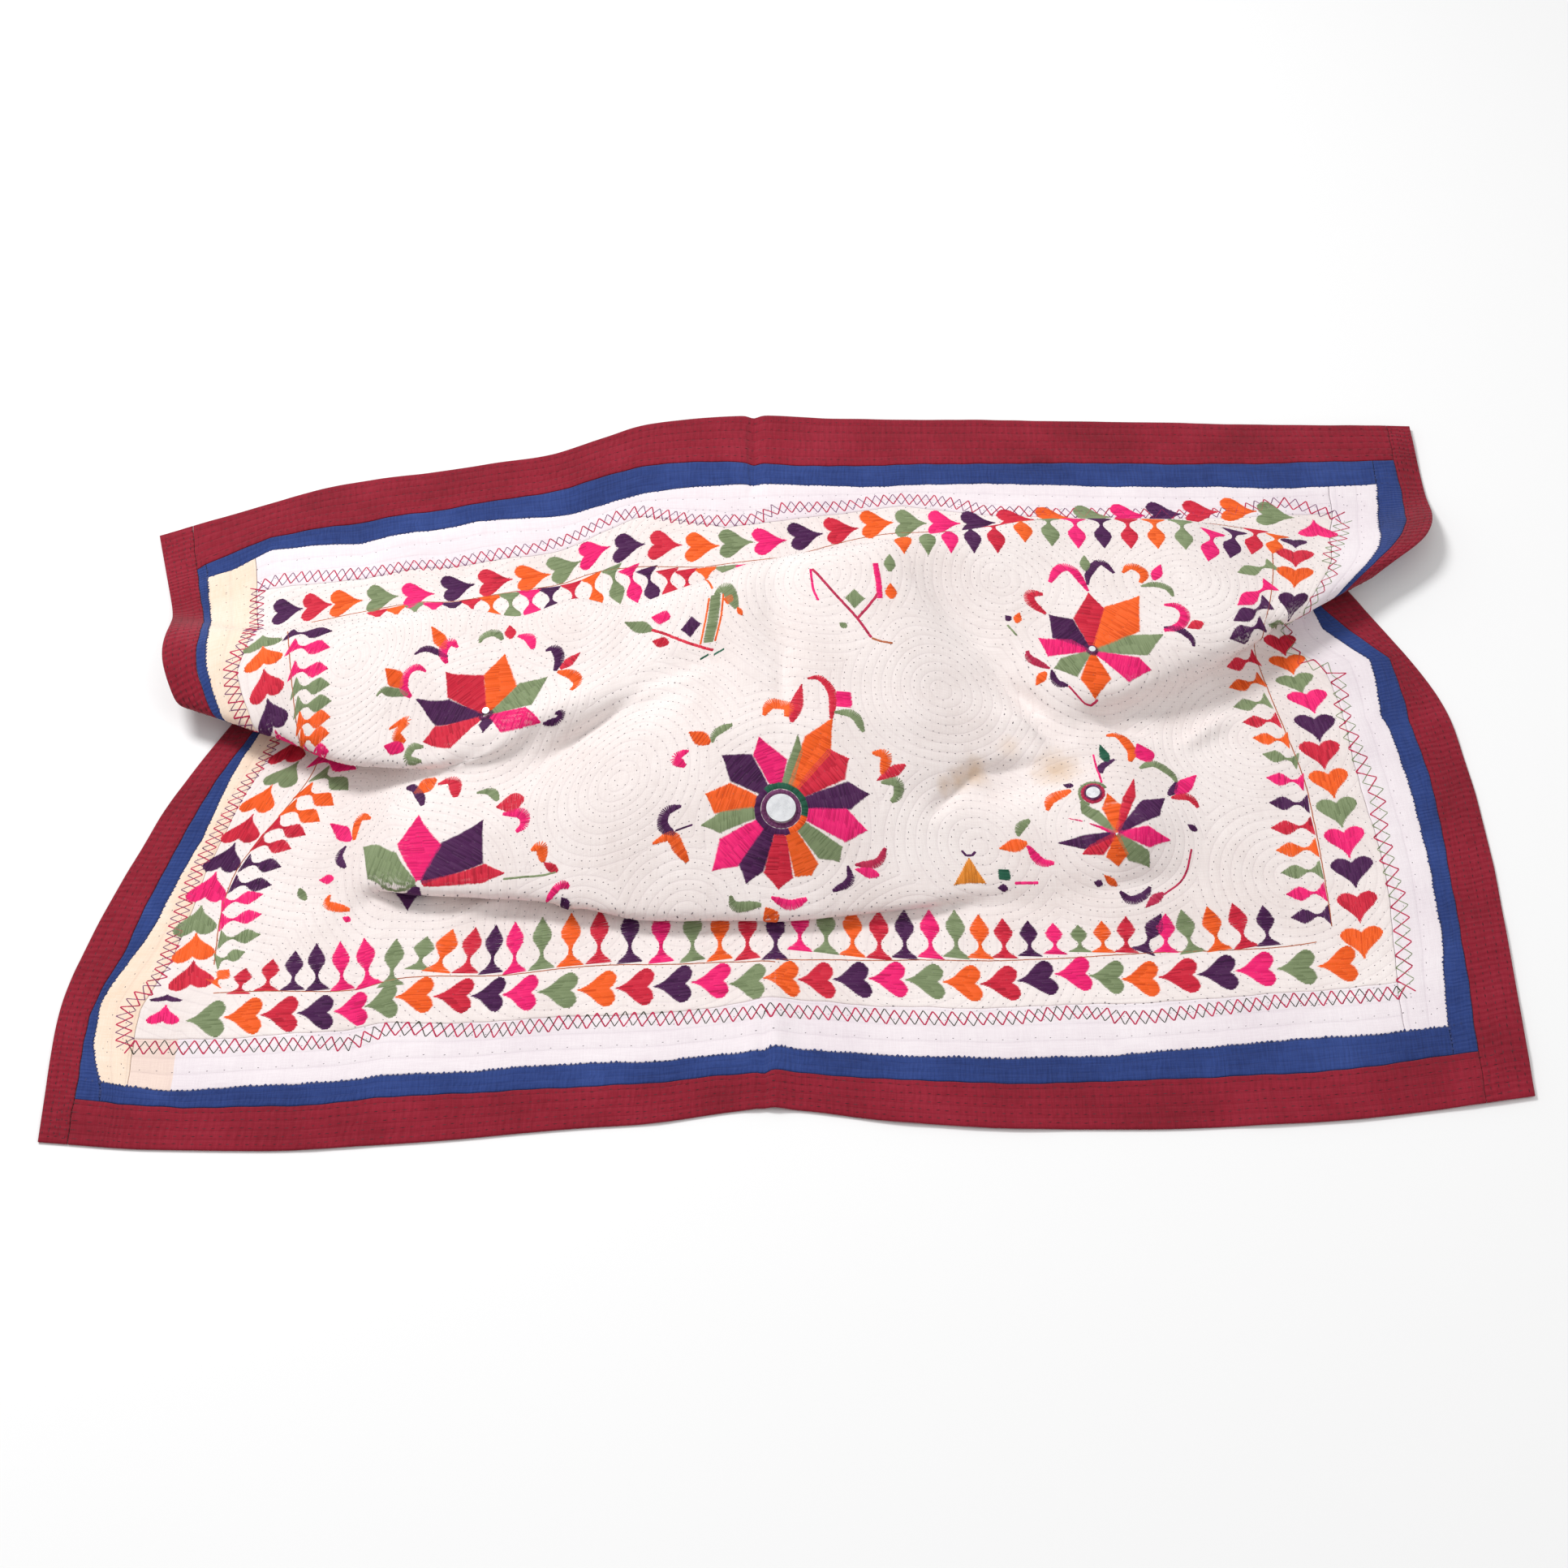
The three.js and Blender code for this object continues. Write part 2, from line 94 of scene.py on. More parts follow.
# Cross-sections of the drape. Each row is one section at u across the cloth, with the places that the
# middle of the sheet passes from front to rear, as x, y and z.
SECTIONS = chart("u front apron front_foot front_lip face side_foot side_lip brow crest heel rear", """
       0  -497,-312,1 -501,-200,1 -484,-130,1 -470,-85,1 -445,-10,1 -390,100,1
          -448,52,28 -466,90,42 -462,122,36 -470,168,2 -492,252,4
      75  -421,-318,1 -424,-200,1 -411,-130,1 -402,-85,1 -380,-10,2 -350,64,2
          -366,16,32 -380,68,48 -386,116,44 -395,148,1 -416,285,3
     150  -345,-319,1 -345,-200,1 -338,-130,1 -333,-90,2 -322,-35,6 -296,22,10
          -312,-12,38 -308,66,54 -312,120,56 -325,154,1 -348,312,3
     230  -266,-314,1 -266,-200,1 -266,-92,1 -268,-116,20 -266,-56,30 -250,-8,28
          -252,-18,42 -242,74,55 -241,126,60 -252,162,1 -277,324,4
     272  -219,-310,1 -219,-200,1 -219,-93,1 -220,-120,20 -218,-53,36 -207,2,37
          -208,4,48 -200,70,56 -199,118,58 -211,156,1 -235,333,5
     320  -175,-305,1 -175,-200,1 -175,-94,1 -176,-124,20 -172,-50,42 -166,10,46
          -160,24,54 -154,82,60 -152,134,64 -165,170,1 -188,342,6
     360  -135,-301,1 -135,-200,1 -136,-105,1 -137,-131,18 -134,-55,44 -129,5,52
          -124,27,57 -119,80,60 -118,124,64 -130,164,1 -148,360,7
     400  -95,-298,1 -96,-200,1 -98,-116,1 -98,-138,16 -96,-60,46 -92,0,58
          -88,30,60 -84,88,64 -84,134,71 -95,173,1 -108,376,8
     490  -9,-286,1 -9,-200,1 -9,-120,1 -9,-138,14 -9,-60,50 -9,0,64
          -9,40,68 -9,104,72 -9,163,82 -10,204,1 -14,386,6
     580  82,-297,1 82,-200,1 82,-114,1 82,-128,12 80,-55,40 80,10,56
          80,50,62 80,126,69 80,184,79 78,222,1 74,386,3
     660  164,-302,1 164,-200,1 163,-108,1 163,-106,10 160,-40,28 160,25,32
          158,60,42 156,140,56 154,210,64 152,244,1 150,386,3
     735  240,-302,1 240,-200,1 238,-130,1 238,-100,6 236,-40,34 232,45,22
          230,48,46 230,150,52 230,246,36 230,260,1 226,384,3
     810  316,-299,1 316,-200,1 316,-130,1 314,-90,6 310,-30,14 300,80,8
          300,78,46 302,155,50 304,248,32 304,262,1 302,382,3
     870  376,-295,1 376,-200,1 376,-120,1 374,-70,2 370,10,6 350,128,2
          352,112,40 364,172,38 366,236,22 364,266,2 364,381,3
     925  431,-288,1 431,-190,1 431,-110,1 430,-50,1 424,50,2 388,168,2
          398,146,34 420,188,32 424,226,18 424,262,2 420,380,3
    1000  506,-276,1 508,-170,1 509,-80,1 506,-10,1 496,85,1 428,212,1
          450,188,22 500,225,28 512,262,16 512,296,2 510,378,3
""")
KEYS = [key for key in SECTIONS[0] if key != "u"]

# Soft creases, one in each row: from one cloth place to another, with height (a trough where it is
# below 0) and half width. They fade out at both ends.
CREASES = chart("from to height spread", """
    490,-20 490,130 5 13   602,470 653,395 -9 20   652,405 694,335 -11 15   600,268 725,306 -8 15
    272,325 431,382 -8 18   495,330 492,470 -5 16   250,365 345,385 7 15   735,262 745,205 13 34
""")

# Finer creases and puckers that only the visible cloth has, in the same form
FINE_CREASES = chart("from to height spread", """
    660,382 700,345 -4 5   664,345 690,322 4 5   728,352 772,336 -4 6   797,325 836,352 4 6
    605,252 640,295 -4 5   638,292 685,307 -4 6   240,345 290,367 4 6   310,345 375,372 -4 6
    370,372 440,366 3 7   500,335 498,380 -3 6   265,190 345,214 4 7   236,0 243,80 -2 4
    486,0 484,70 -3 4   742,0 738,85 -2 4   478,640 480,740 -3 5   110,385 150,350 4 6
    870,470 905,455 -4 7
""")

# How finely the surface is worked out
CURVE_STEPS = 16
EVEN_STEPS = 288
EASING_PASSES = 9
CELL = 2.5


def control_points(section):
    """The control points of one section's curve."""
    place = {key: np.array(section[key], float) for key in KEYS}

    def between(a, b, share):
        return place[a] + (place[b] - place[a]) * share

    def raised(a, b, share):
        point = place[a].copy()
        point[2] += (place[b][2] - point[2]) * share
        return point

    return [
        place["front"],
        between("front", "apron", 0.5),
        place["apron"],
        between("apron", "front_foot", 0.6),
        place["front_foot"],
        raised("front_foot", "front_lip", 0.4),
        raised("front_lip", "front_foot", 0.4),
        place["front_lip"],
        between("front_lip", "face", 0.5),
        place["face"],
        between("face", "side_foot", 0.6),
        place["side_foot"],
        raised("side_foot", "side_lip", 0.4),
        raised("side_lip", "side_foot", 0.4),
        place["side_lip"],
        place["brow"],
        place["crest"],
        between("crest", "heel", 0.55),
        place["heel"],
        between("heel", "rear", 0.33),
        between("heel", "rear", 0.66),
        place["rear"],
    ]


def even_slopes(stations, values):
    """Slopes at the stations of curves that never overshoot their values (first axis: stations)."""
    steps = np.diff(stations)[:, None, None]
    grades = np.diff(values, axis=0) / steps
    slopes = np.zeros_like(values)
    slopes[0] = grades[0]
    slopes[-1] = grades[-1]
    before = 2 * steps[1:] + steps[:-1]
    after = steps[1:] + 2 * steps[:-1]
    same = grades[:-1] * grades[1:] > 0
    safe = np.where(same, grades[:-1], 1.0), np.where(same, grades[1:], 1.0)
    slopes[1:-1] = np.where(same, (before + after) / (before / safe[0] + after / safe[1]), 0.0)
    return slopes


def controls_at(u):
    """The control points of the sections at each of the values u."""
    stations = np.array([section["u"] for section in SECTIONS], float)
    values = np.array([control_points(section) for section in SECTIONS])
    slopes = even_slopes(stations, values)
    i = np.clip(np.searchsorted(stations, u, side="right") - 1, 0, len(stations) - 2)
    step = (stations[i + 1] - stations[i])[:, None, None]
    t = ((u - stations[i])[:, None, None]) / step
    start = (1 + 2 * t) * (1 - t) ** 2
    end = t * t * (3 - 2 * t)
    leave = t * (1 - t) ** 2 * step
    arrive = t * t * (t - 1) * step
    return start * values[i] + end * values[i + 1] + leave * slopes[i] + arrive * slopes[i + 1]


def spline_points(controls):
    """Smooth curves (cubic B-splines) that the control points pull along, CURVE_STEPS to a span."""
    spans = controls.shape[1] - 1
    first = 2 * controls[:, :1] - controls[:, 1:2]
    last = 2 * controls[:, -1:] - controls[:, -2:-1]
    pulled = np.concatenate([first, controls, last], axis=1)
    where = np.arange(spans * CURVE_STEPS + 1) / CURVE_STEPS
    i = np.minimum(where.astype(int), spans - 1)
    t = (where - i)[None, :, None]
    return (
        pulled[:, i] * (1 - t) ** 3
        + pulled[:, i + 1] * (3 * t**3 - 6 * t**2 + 4)
        + pulled[:, i + 2] * (-3 * t**3 + 3 * t**2 + 3 * t + 1)
        + pulled[:, i + 3] * t**3
    ) / 6


def lengths_along(points):
    """The length along each curve, up to each of its points."""
    steps = np.linalg.norm(np.diff(points, axis=1), axis=2)
    return np.concatenate([np.zeros((len(points), 1)), np.cumsum(steps, axis=1)], axis=1)


def resample(along, points, wanted):
    """Points of one curve at the wanted lengths along it."""
    return np.stack([np.interp(wanted, along, points[:, axis]) for axis in range(3)], axis=1)


def draped_grid():
    """The middle of the sheet at every CELL of u and v, before its creases."""
    columns = np.arange(0, WIDTH + CELL / 2, CELL)
    rows = np.arange(0, LENGTH + CELL / 2, CELL)
    curves = spline_points(controls_at(columns))
    along = lengths_along(curves)
    even = np.linspace(0, 1, EVEN_STEPS + 1)
    points = np.array([resample(a, c, even * a[-1]) for a, c in zip(along, curves)])
    for _ in range(EASING_PASSES):
        points[:, 1:-1] = (points[:, :-2] + 2 * points[:, 1:-1] + points[:, 2:]) / 4
    along = lengths_along(points)
    grid = np.array([resample(a * LENGTH / a[-1], c, rows) for a, c in zip(along, points)])
    return columns, rows, grid - FOOTPRINT


def grid_normals(grid):
    """Unit normals of a grid of points, on the side that faces up where the cloth lies flat."""
    across = np.gradient(grid, axis=0)
    along = np.gradient(grid, axis=1)
    normal = np.cross(across, along)
    return normal / np.linalg.norm(normal, axis=2, keepdims=True)


def crease_heights(u, v, creases):
    """How far the creases lift the cloth at each u, v."""
    height = np.zeros(np.broadcast(u, v).shape)
    for crease in creases:
        start = np.array(crease["from"], float)
        line = np.array(crease["to"], float) - start
        share = np.clip(((u - start[0]) * line[0] + (v - start[1]) * line[1]) / (line @ line), 0, 1)
        away = np.hypot(u - start[0] - line[0] * share, v - start[1] - line[1] * share)
        fade = np.sin(math.pi * (0.12 + 0.76 * share))
        height += crease["height"] * fade * np.exp(-((away / crease["spread"]) ** 2))
    return height


def soft_noise(shape, spread, seed):
    """A smooth random field from about -1 to 1, with hills about spread cells wide."""
    field = np.random.default_rng(seed).standard_normal(shape)
    for axis in (0, 1):
        reach = int(spread * 3)
        kernel = np.exp(-0.5 * (np.arange(-reach, reach + 1) / spread) ** 2)
        kernel /= kernel.sum()
        padded = np.pad(field, [(reach, reach) if a == axis else (0, 0) for a in (0, 1)], mode="reflect")
        field = np.apply_along_axis(np.convolve, axis, padded, kernel, "valid")
    return field / (np.abs(field).max() + 1e-9)


# The draped surface: the middle of the sheet with all its creases, never lower than it can lie
COLUMNS, ROWS, BASE = draped_grid()
U_GRID, V_GRID = np.meshgrid(COLUMNS, ROWS, indexing="ij")
BASE += grid_normals(BASE) * crease_heights(U_GRID, V_GRID, CREASES)[:, :, None]


# Hand-quilted cloth never lies quite flat: broad hills and small puckers, by their width in cells, the
# seed of their noise and their height
UNEVENNESS = chart("spread seed height", "16 11 1.3   6 12 0.8   2.2 13 0.35")
FINE_CREASE_RISE = 1.5


def small_heights():
    """How far the fine creases and the unevenness lift the cloth over the whole grid."""
    uneven = sum(row["height"] * soft_noise(U_GRID.shape, row["spread"], int(row["seed"]))
                 for row in UNEVENNESS)
    return crease_heights(U_GRID, V_GRID, FINE_CREASES) * FINE_CREASE_RISE + uneven


MIDDLE = BASE + grid_normals(BASE) * small_heights()[:, :, None]
MIDDLE[:, :, 2] = np.maximum(MIDDLE[:, :, 2], SHEET / 2)
NORMAL = grid_normals(MIDDLE)


def on_cloth(u, v, height):
    """Points at u, v that stand height above the middle of the sheet, in millimetres."""
    u = np.clip(np.asarray(u, float), 0, WIDTH) / CELL
    v = np.clip(np.asarray(v, float), 0, LENGTH) / CELL
    i = np.minimum(u.astype(int), len(COLUMNS) - 2)
    j = np.minimum(v.astype(int), len(ROWS) - 2)
    s = (u - i)[:, None]
    t = (v - j)[:, None]

    def blend(grid):
        low = grid[i, j] * (1 - s) + grid[i + 1, j] * s
        high = grid[i, j + 1] * (1 - s) + grid[i + 1, j + 1] * s
        return low * (1 - t) + high * t

    normal = blend(NORMAL)
    normal /= np.linalg.norm(normal, axis=1, keepdims=True)
    return blend(MIDDLE) + normal * np.asarray(height, float)[:, None]


def make_mesh(name, points, faces, materials, face_slots=None, vectors=None, smooth=True):
    """A mesh object from points in millimetres, with named vector attributes at its points."""
    mesh = bpy.data.meshes.new(name)
    mesh.from_pydata((np.asarray(points) * MM).tolist(), [], faces)
    for material in materials:
        mesh.materials.append(material)
    if face_slots is not None:
        mesh.polygons.foreach_set("material_index", np.asarray(face_slots, np.int32))
    for key, values in (vectors or {}).items():
        layer = mesh.attributes.new(key, "FLOAT_VECTOR", "POINT")
        layer.data.foreach_set("vector", np.asarray(values, np.float32).ravel())
    if smooth:
        mesh.polygons.foreach_set("use_smooth", [True] * len(mesh.polygons))
    mesh.update()
    thing = bpy.data.objects.new(name, mesh)
    bpy.context.scene.collection.objects.link(thing)
    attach(thing, "root")
    return thing


# Seams, from the outer edges inwards
def seams_of(side):
    inner = CRIMSON[side] + BLUE[side]
    return [0, CRIMSON[side], inner, inner + BAND[side]]


U_SEAMS = seams_of("left") + [WIDTH - inset for inset in reversed(seams_of("right"))]
V_SEAMS = seams_of("front") + [LENGTH - inset for inset in reversed(seams_of("rear"))]


# Waves of a hand-sewn seam: wavelengths and shares of the greatest stray, in millimetres
SEAM_WAVES = ((170, 0.5), (61, 0.3), (23, 0.2))
SEAM_STRAY = 0.9


def wobble(along, seed):
    """How far a hand-sewn seam strays from its line, at each place along it."""
    local = np.random.default_rng(seed)
    total = np.zeros_like(along)
    for wavelength, share in SEAM_WAVES:
        total += share * np.sin(2 * math.pi * along / wavelength + local.uniform(0, 2 * math.pi))
    return total * SEAM_STRAY


# Where the sewn seams truly run: the seam's number from the outer edge, and pairs of a place along it
# and its distance from the cloth's left or front edge there
SEAM_LINES = chart("side seam line", """
    front 1 30,36/100,32/230,38/485,28/725,39/967,41
    front 2 35,51/90,46/235,56/485,45/630,55/725,59/770,64/850,67/940,65
    front 3 49,88/125,88/225,101/300,93/462,85/550,90/650,98/700,103/850,107
    rear 1 25,672/75,682/150,674/320,680/500,666/600,668/900,675/975,682
    rear 2 50,660/75,670/150,651/250,659/350,647/475,645/900,647/970,656
    rear 3 75,628/150,613/300,614/380,622/450,600/540,615/590,623/680,608/850,611/930,620
    left 1 40,20/115,21/165,29/300,27/500,24
    left 2 49,37/90,28/127,26/192,42/267,45/347,34/480,30
    left 3 80,54/122,55/165,65/317,59/492,51/535,65/630,69
    right 1 40,967/275,971/325,970/387,986/450,962/535,970/600,982/650,985
    right 2 66,950/125,956/275,956/337,952/390,970/430,950/535,960/600,965/650,970
    right 3 98,920/200,925/300,919/392,930/420,910/522,925/585,930/615,936
""")


def wandered(u, v):
    """The true cloth place of a sheet's nominal u, v: the sewn seams stray from their lines."""

    def true_place(across, along, nominal, sides):
        lines = {(row["side"], row["seam"]): row["line"] for row in SEAM_LINES}
        knots = [np.zeros_like(across)]
        for side, order in ((sides[0], (1, 2, 3)), (sides[1], (3, 2, 1))):
            for seam in order:
                line = np.interp(along, *zip(*lines[side, seam]))
                knots.append(line + wobble(along, 10 * seam + len(side)))
        knots.append(np.full_like(across, nominal[-1]))
        place = np.clip(np.searchsorted(nominal, across, side="right") - 1, 0, len(nominal) - 2)
        low, high = np.choose(place, knots[:-1]), np.choose(place, knots[1:])
        start, end = np.take(nominal, place), np.take(nominal, place + 1)
        return low + (high - low) * (across - start) / (end - start)

    return (true_place(u, v, np.array(U_SEAMS, float), ("left", "right")),
            true_place(v, u, np.array(V_SEAMS, float), ("front", "rear")))


# Cuts from a sheet's edge inwards, over which it is rounded, and how thick it is at the very edge
RIM = (0.0, 0.35, 0.9, 1.8)
EDGE_SHARE = 0.45


def cuts_between(start, end, step):
    """Cuts from start to end, close together at both ends where the sheet's edge is rounded."""
    count = max(1, math.ceil((end - start - 2 * RIM[-1]) / step))
    inner = np.linspace(start + RIM[-1], end - RIM[-1], count + 1)[1:-1]
    return np.array([start + r for r in RIM] + list(inner) + [end - r for r in reversed(RIM)])


def sheet_piece(name, material, u_range, v_range, step, rows, node=None):
    """A closed thin sheet over a range of u and v, with soft rounded edges. Its "rows" attribute holds
    the place along and across its rows of stitching."""
    u_low = u_range[0] + (GAP / 2 if u_range[0] > 0 else 0)
    u_high = u_range[1] - (GAP / 2 if u_range[1] < WIDTH else 0)
    v_low = v_range[0] + (GAP / 2 if v_range[0] > 0 else 0)
    v_high = v_range[1] - (GAP / 2 if v_range[1] < LENGTH else 0)
    us = cuts_between(u_low, u_high, step[0])
    vs = cuts_between(v_low, v_high, step[1])
    u, v = [a.ravel() for a in np.meshgrid(us, vs, indexing="ij")]
    edge = np.minimum.reduce([u - u_low, u_high - u, v - v_low, v_high - v])
    rounding = np.sqrt(1 - (1 - np.clip(edge / RIM[-1], 0, 1)) ** 2)
    half = SHEET / 2 * (EDGE_SHARE + (1 - EDGE_SHARE) * rounding)
    true_u, true_v = wandered(u, v)
    top = on_cloth(true_u, true_v, half)
    under = on_cloth(true_u, true_v, -half)
    points = np.concatenate([top, under])
    points[:, 2] = np.maximum(points[:, 2], 0)
    across, along = len(us), len(vs)
    index = np.arange(across * along).reshape(across, along)
    a, b, c, d = index[:-1, :-1], index[1:, :-1], index[1:, 1:], index[:-1, 1:]
    faces = np.stack([a, b, c, d], axis=-1).reshape(-1, 4)
    below = len(u)
    faces = [*faces.tolist(), *(faces[:, ::-1] + below).tolist()]
    for line, outward in ((index[:, 0], 1), (index[:, -1], -1), (index[0, :], -1), (index[-1, :], 1)):
        for p, q in zip(line[:-1].tolist(), line[1:].tolist()):
            faces.append([q, p, p + below, q + below] if outward > 0 else [p, q, q + below, p + below])
    cloth = np.stack([u, v, np.zeros_like(u)], axis=1) * MM
    piece = make_mesh(name, points, faces, [material], vectors={
        "cloth": np.concatenate([cloth, cloth]),
        "rows": np.concatenate([rows(u, v)] * 2),
    })
    if node:
        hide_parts(node)
    return piece


# Materials


def linear(hex_colour):
    """A display colour such as "f3e9e2" as linear red, green, blue and alpha."""
    parts = [int(hex_colour[i:i + 2], 16) / 255 for i in (0, 2, 4)]
    return (*[p / 12.92 if p <= 0.04045 else ((p + 0.055) / 1.055) ** 2.4 for p in parts], 1.0)


class Nodes:
    """Short ways to build one material's nodes."""

    def __init__(self, name):
        self.material = bpy.data.materials.new(name)
        self.material.use_nodes = True
        self.tree = self.material.node_tree
        self.shader = self.tree.nodes["Principled BSDF"]

    def add(self, kind, inputs=None, **settings):
        made = self.tree.nodes.new(kind)
        for key, value in settings.items():
            setattr(made, key, value)
        for key, value in (inputs or {}).items():
            self.feed(made.inputs[key], value)
        return made

    def feed(self, socket, value):
        if isinstance(value, bpy.types.NodeSocket):
            self.tree.links.new(value, socket)
        else:
            socket.default_value = value

    def surface(self, inputs):
        for key, value in inputs.items():
            self.feed(self.shader.inputs[key], value)
        return self.material

    def attribute(self, name):
        return self.add("ShaderNodeAttribute", attribute_name=name).outputs["Vector"]

    def maths(self, operation, a, b=0.0, c=0.0):
        made = self.add("ShaderNodeMath", {0: a, 1: b, 2: c}, operation=operation)
        return made.outputs[0]

    def scaled(self, vector, scale):
        made = self.add("ShaderNodeVectorMath", {0: vector}, operation="MULTIPLY")
        made.inputs[1].default_value = scale
        return made.outputs[0]

    def noise(self, vector, scale, detail=3.0, rough=0.55):
        made = self.add("ShaderNodeTexNoise", {"Vector": vector, "Scale": scale, "Detail": detail,
                                               "Roughness": rough})
        return made.outputs["Fac"]

    def ramp(self, value, *stops):
        made = self.add("ShaderNodeValToRGB", {"Fac": value})
        made.color_ramp.elements[0].position, made.color_ramp.elements[0].color = stops[0]
        made.color_ramp.elements[1].position, made.color_ramp.elements[1].color = stops[-1]
        for place, colour in stops[1:-1]:
            made.color_ramp.elements.new(place).color = colour
        return made.outputs["Color"]

    def mix(self, share, a, b, blend="MIX"):
        made = self.add("ShaderNodeMix", data_type="RGBA", blend_type=blend)
        for socket, value in ((made.inputs[0], share), (made.inputs[6], a), (made.inputs[7], b)):
            self.feed(socket, value)
        return made.outputs[2]

    def bump(self, height, distance, strength=1.0, under=None):
        inputs = {"Height": height, "Distance": distance, "Strength": strength}
        if under is not None:
            inputs["Normal"] = under
        return self.add("ShaderNodeBump", inputs).outputs["Normal"]

    def stripes(self, coordinate, pitch):
        """0 to 1 and back, once every pitch of the coordinate."""
        turn = self.maths("MULTIPLY", coordinate, 2 * math.pi / pitch)
        return self.maths("MULTIPLY_ADD", self.maths("SINE", turn), 0.5, 0.5)


# The pitch of the plain weave, in metres
WEAVE = 0.0009


def fabric(name, base, deep, pale, rib, *, puff=0.0004, fuzz=0.3, patch=None, stains=()):
    """Woven cotton: a fine plain weave, slubs, irregular ribs across its rows, and a soft puff between the
    rows of stitching, with painted shade in the grooves between them."""
    n = Nodes(name)
    cloth = n.attribute("cloth")
    u, v, _ = n.add("ShaderNodeSeparateXYZ", {0: cloth}).outputs
    along, across, _ = n.add("ShaderNodeSeparateXYZ", {0: n.attribute("rows")}).outputs
    blotch = n.noise(cloth, 14.0, 4.0)
    slub_u = n.noise(n.scaled(cloth, (60.0, 900.0, 1.0)), 1.0, 2.0)
    slub_v = n.noise(n.scaled(cloth, (900.0, 60.0, 1.0)), 1.0, 2.0)
    slub = n.maths("MULTIPLY_ADD", n.maths("ADD", slub_u, slub_v), 0.5, 0.0)
    tone = n.ramp(blotch, (0.32, linear(deep)), (0.52, linear(base)), (0.74, linear(pale)))
    tone = n.mix(0.35, tone, n.ramp(slub, (0.38, linear(deep)), (0.62, linear(pale))))
    groove = n.maths("ABSOLUTE", n.maths("SINE", n.maths("MULTIPLY", across, math.pi)))
    # Painted shade: the colour darkens a little in the grooves between the rows of stitching.
    groove_shade = n.ramp(groove, (0.0, (0.96, 0.95, 0.96, 1.0)), (0.4, (1.0, 1.0, 1.0, 1.0)))
    tone = n.mix(1.0, tone, groove_shade, "MULTIPLY")
    if patch:
        tone = n.mix(n.maths("LESS_THAN", u, patch[0]), tone, n.mix(1.0, tone, linear(patch[1]), "MULTIPLY"))
    for stain in stains:
        away = n.add("ShaderNodeVectorMath", {0: cloth, 1: (stain["u"] * MM, stain["v"] * MM, 0)},
                     operation="DISTANCE").outputs["Value"]
        spread = n.maths("MULTIPLY_ADD", n.noise(cloth, 120.0, 3.0), stain["radius"] * MM * 0.9, away)
        depth = n.ramp(spread, (stain["radius"] * MM * 0.6, (stain["depth"],) * 3 + (1,)),
                       (stain["radius"] * MM * 1.7, (0, 0, 0, 1)))
        tone = n.mix(depth, tone, linear("cfa878"))
    strand = n.maths("MULTIPLY", n.stripes(u, WEAVE), n.stripes(v, WEAVE))
    bent = n.maths("MULTIPLY_ADD", n.noise(cloth, 55.0, 2.0), 0.009, along)
    ribs = n.stripes(bent, rib[0])
    normal = n.bump(n.maths("POWER", groove, 0.6), puff)
    normal = n.bump(ribs, rib[1], under=normal)
    normal = n.bump(slub, 0.0002, 0.6, under=normal)
    normal = n.bump(strand, 0.00012, 0.5, under=normal)
    return n.surface({"Base Color": tone, "Normal": normal, "Roughness": 0.92, "Specular IOR Level": 0.25,
                      "Sheen Weight": fuzz, "Sheen Roughness": 0.5})


# Brown stains on the ground panel
STAINS = chart("u v radius depth", """
    704 300 17 0.6   645 294 10 0.6   633 286 8 0.5   621 279 7 0.4   668 318 9 0.3
""")

BAND_RIB = (0.011, 0.00006)
crimson_cloth = fabric("crimson_cotton", "8a1429", "730c1e", "9c2237", (0.0052, 0.0004), fuzz=0.1)
blue_cloth = fabric("blue_cotton", "253b78", "1b2d62", "374f92", (0.0034, 0.00028), puff=0.0003, fuzz=0.1)
white_cloth = fabric("white_cotton", "ece2e6", "e2d6dc", "f5edf0", BAND_RIB)
peach_cloth = fabric("peach_cotton", "f2dcc8", "ecceb4", "f8e8d8", BAND_RIB)
patched_cloth = fabric("patched_cotton", "ece2e6", "e2d6dc", "f5edf0", BAND_RIB, patch=(0.092, "fff0df"))
cream_cloth = fabric("cream_quilting", "eee3e0", "e3d6d2", "f6edea", (0.013, 0.00005), puff=0.0003,
                     stains=STAINS)

# The sheets


def strip_rows(side, inset, pitch):
    """Rows of stitching that run along a strip, pitch apart from its outer edge inwards."""

    def rows(u, v):
        outward = {"front": v, "rear": LENGTH - v, "left": u, "right": WIDTH - u}[side] - inset
        along = u if side in ("front", "rear") else v
        return np.stack([along * MM, outward / pitch, np.zeros_like(u)], axis=1)

    return rows


# The size of a sheet's faces in millimetres: along and across a strip, and for u and v of the ground
STRIP_STEPS = (4.5, 2.6)
GROUND_STEPS = (3.4, 3.0)


def add_ring(name, ring, pitch, materials):
    """The four strips of one ring: the side strips run the whole way, the others butt between them."""
    far = len(U_SEAMS) - 1 - ring
    rear = len(V_SEAMS) - 1 - ring
    spans = {
        "left": ((U_SEAMS[ring], U_SEAMS[ring + 1]), (V_SEAMS[ring], V_SEAMS[rear])),
        "right": ((U_SEAMS[far - 1], U_SEAMS[far]), (V_SEAMS[ring], V_SEAMS[rear])),
        "front": ((U_SEAMS[ring + 1], U_SEAMS[far - 1]), (V_SEAMS[ring], V_SEAMS[ring + 1])),
        "rear": ((U_SEAMS[ring + 1], U_SEAMS[far - 1]), (V_SEAMS[rear - 1], V_SEAMS[rear])),
    }
    for side, (u_range, v_range) in spans.items():
        step = STRIP_STEPS if side in ("left", "right") else STRIP_STEPS[::-1]
        piece = sheet_piece(f"cloth_{name}_{side}", materials[side], u_range, v_range, step,
                            strip_rows(side, seams_of(side)[ring], pitch), f"{name}_{side}")


def all_sides(value, **others):
    return {side: others.get(side, value) for side in SIDES}


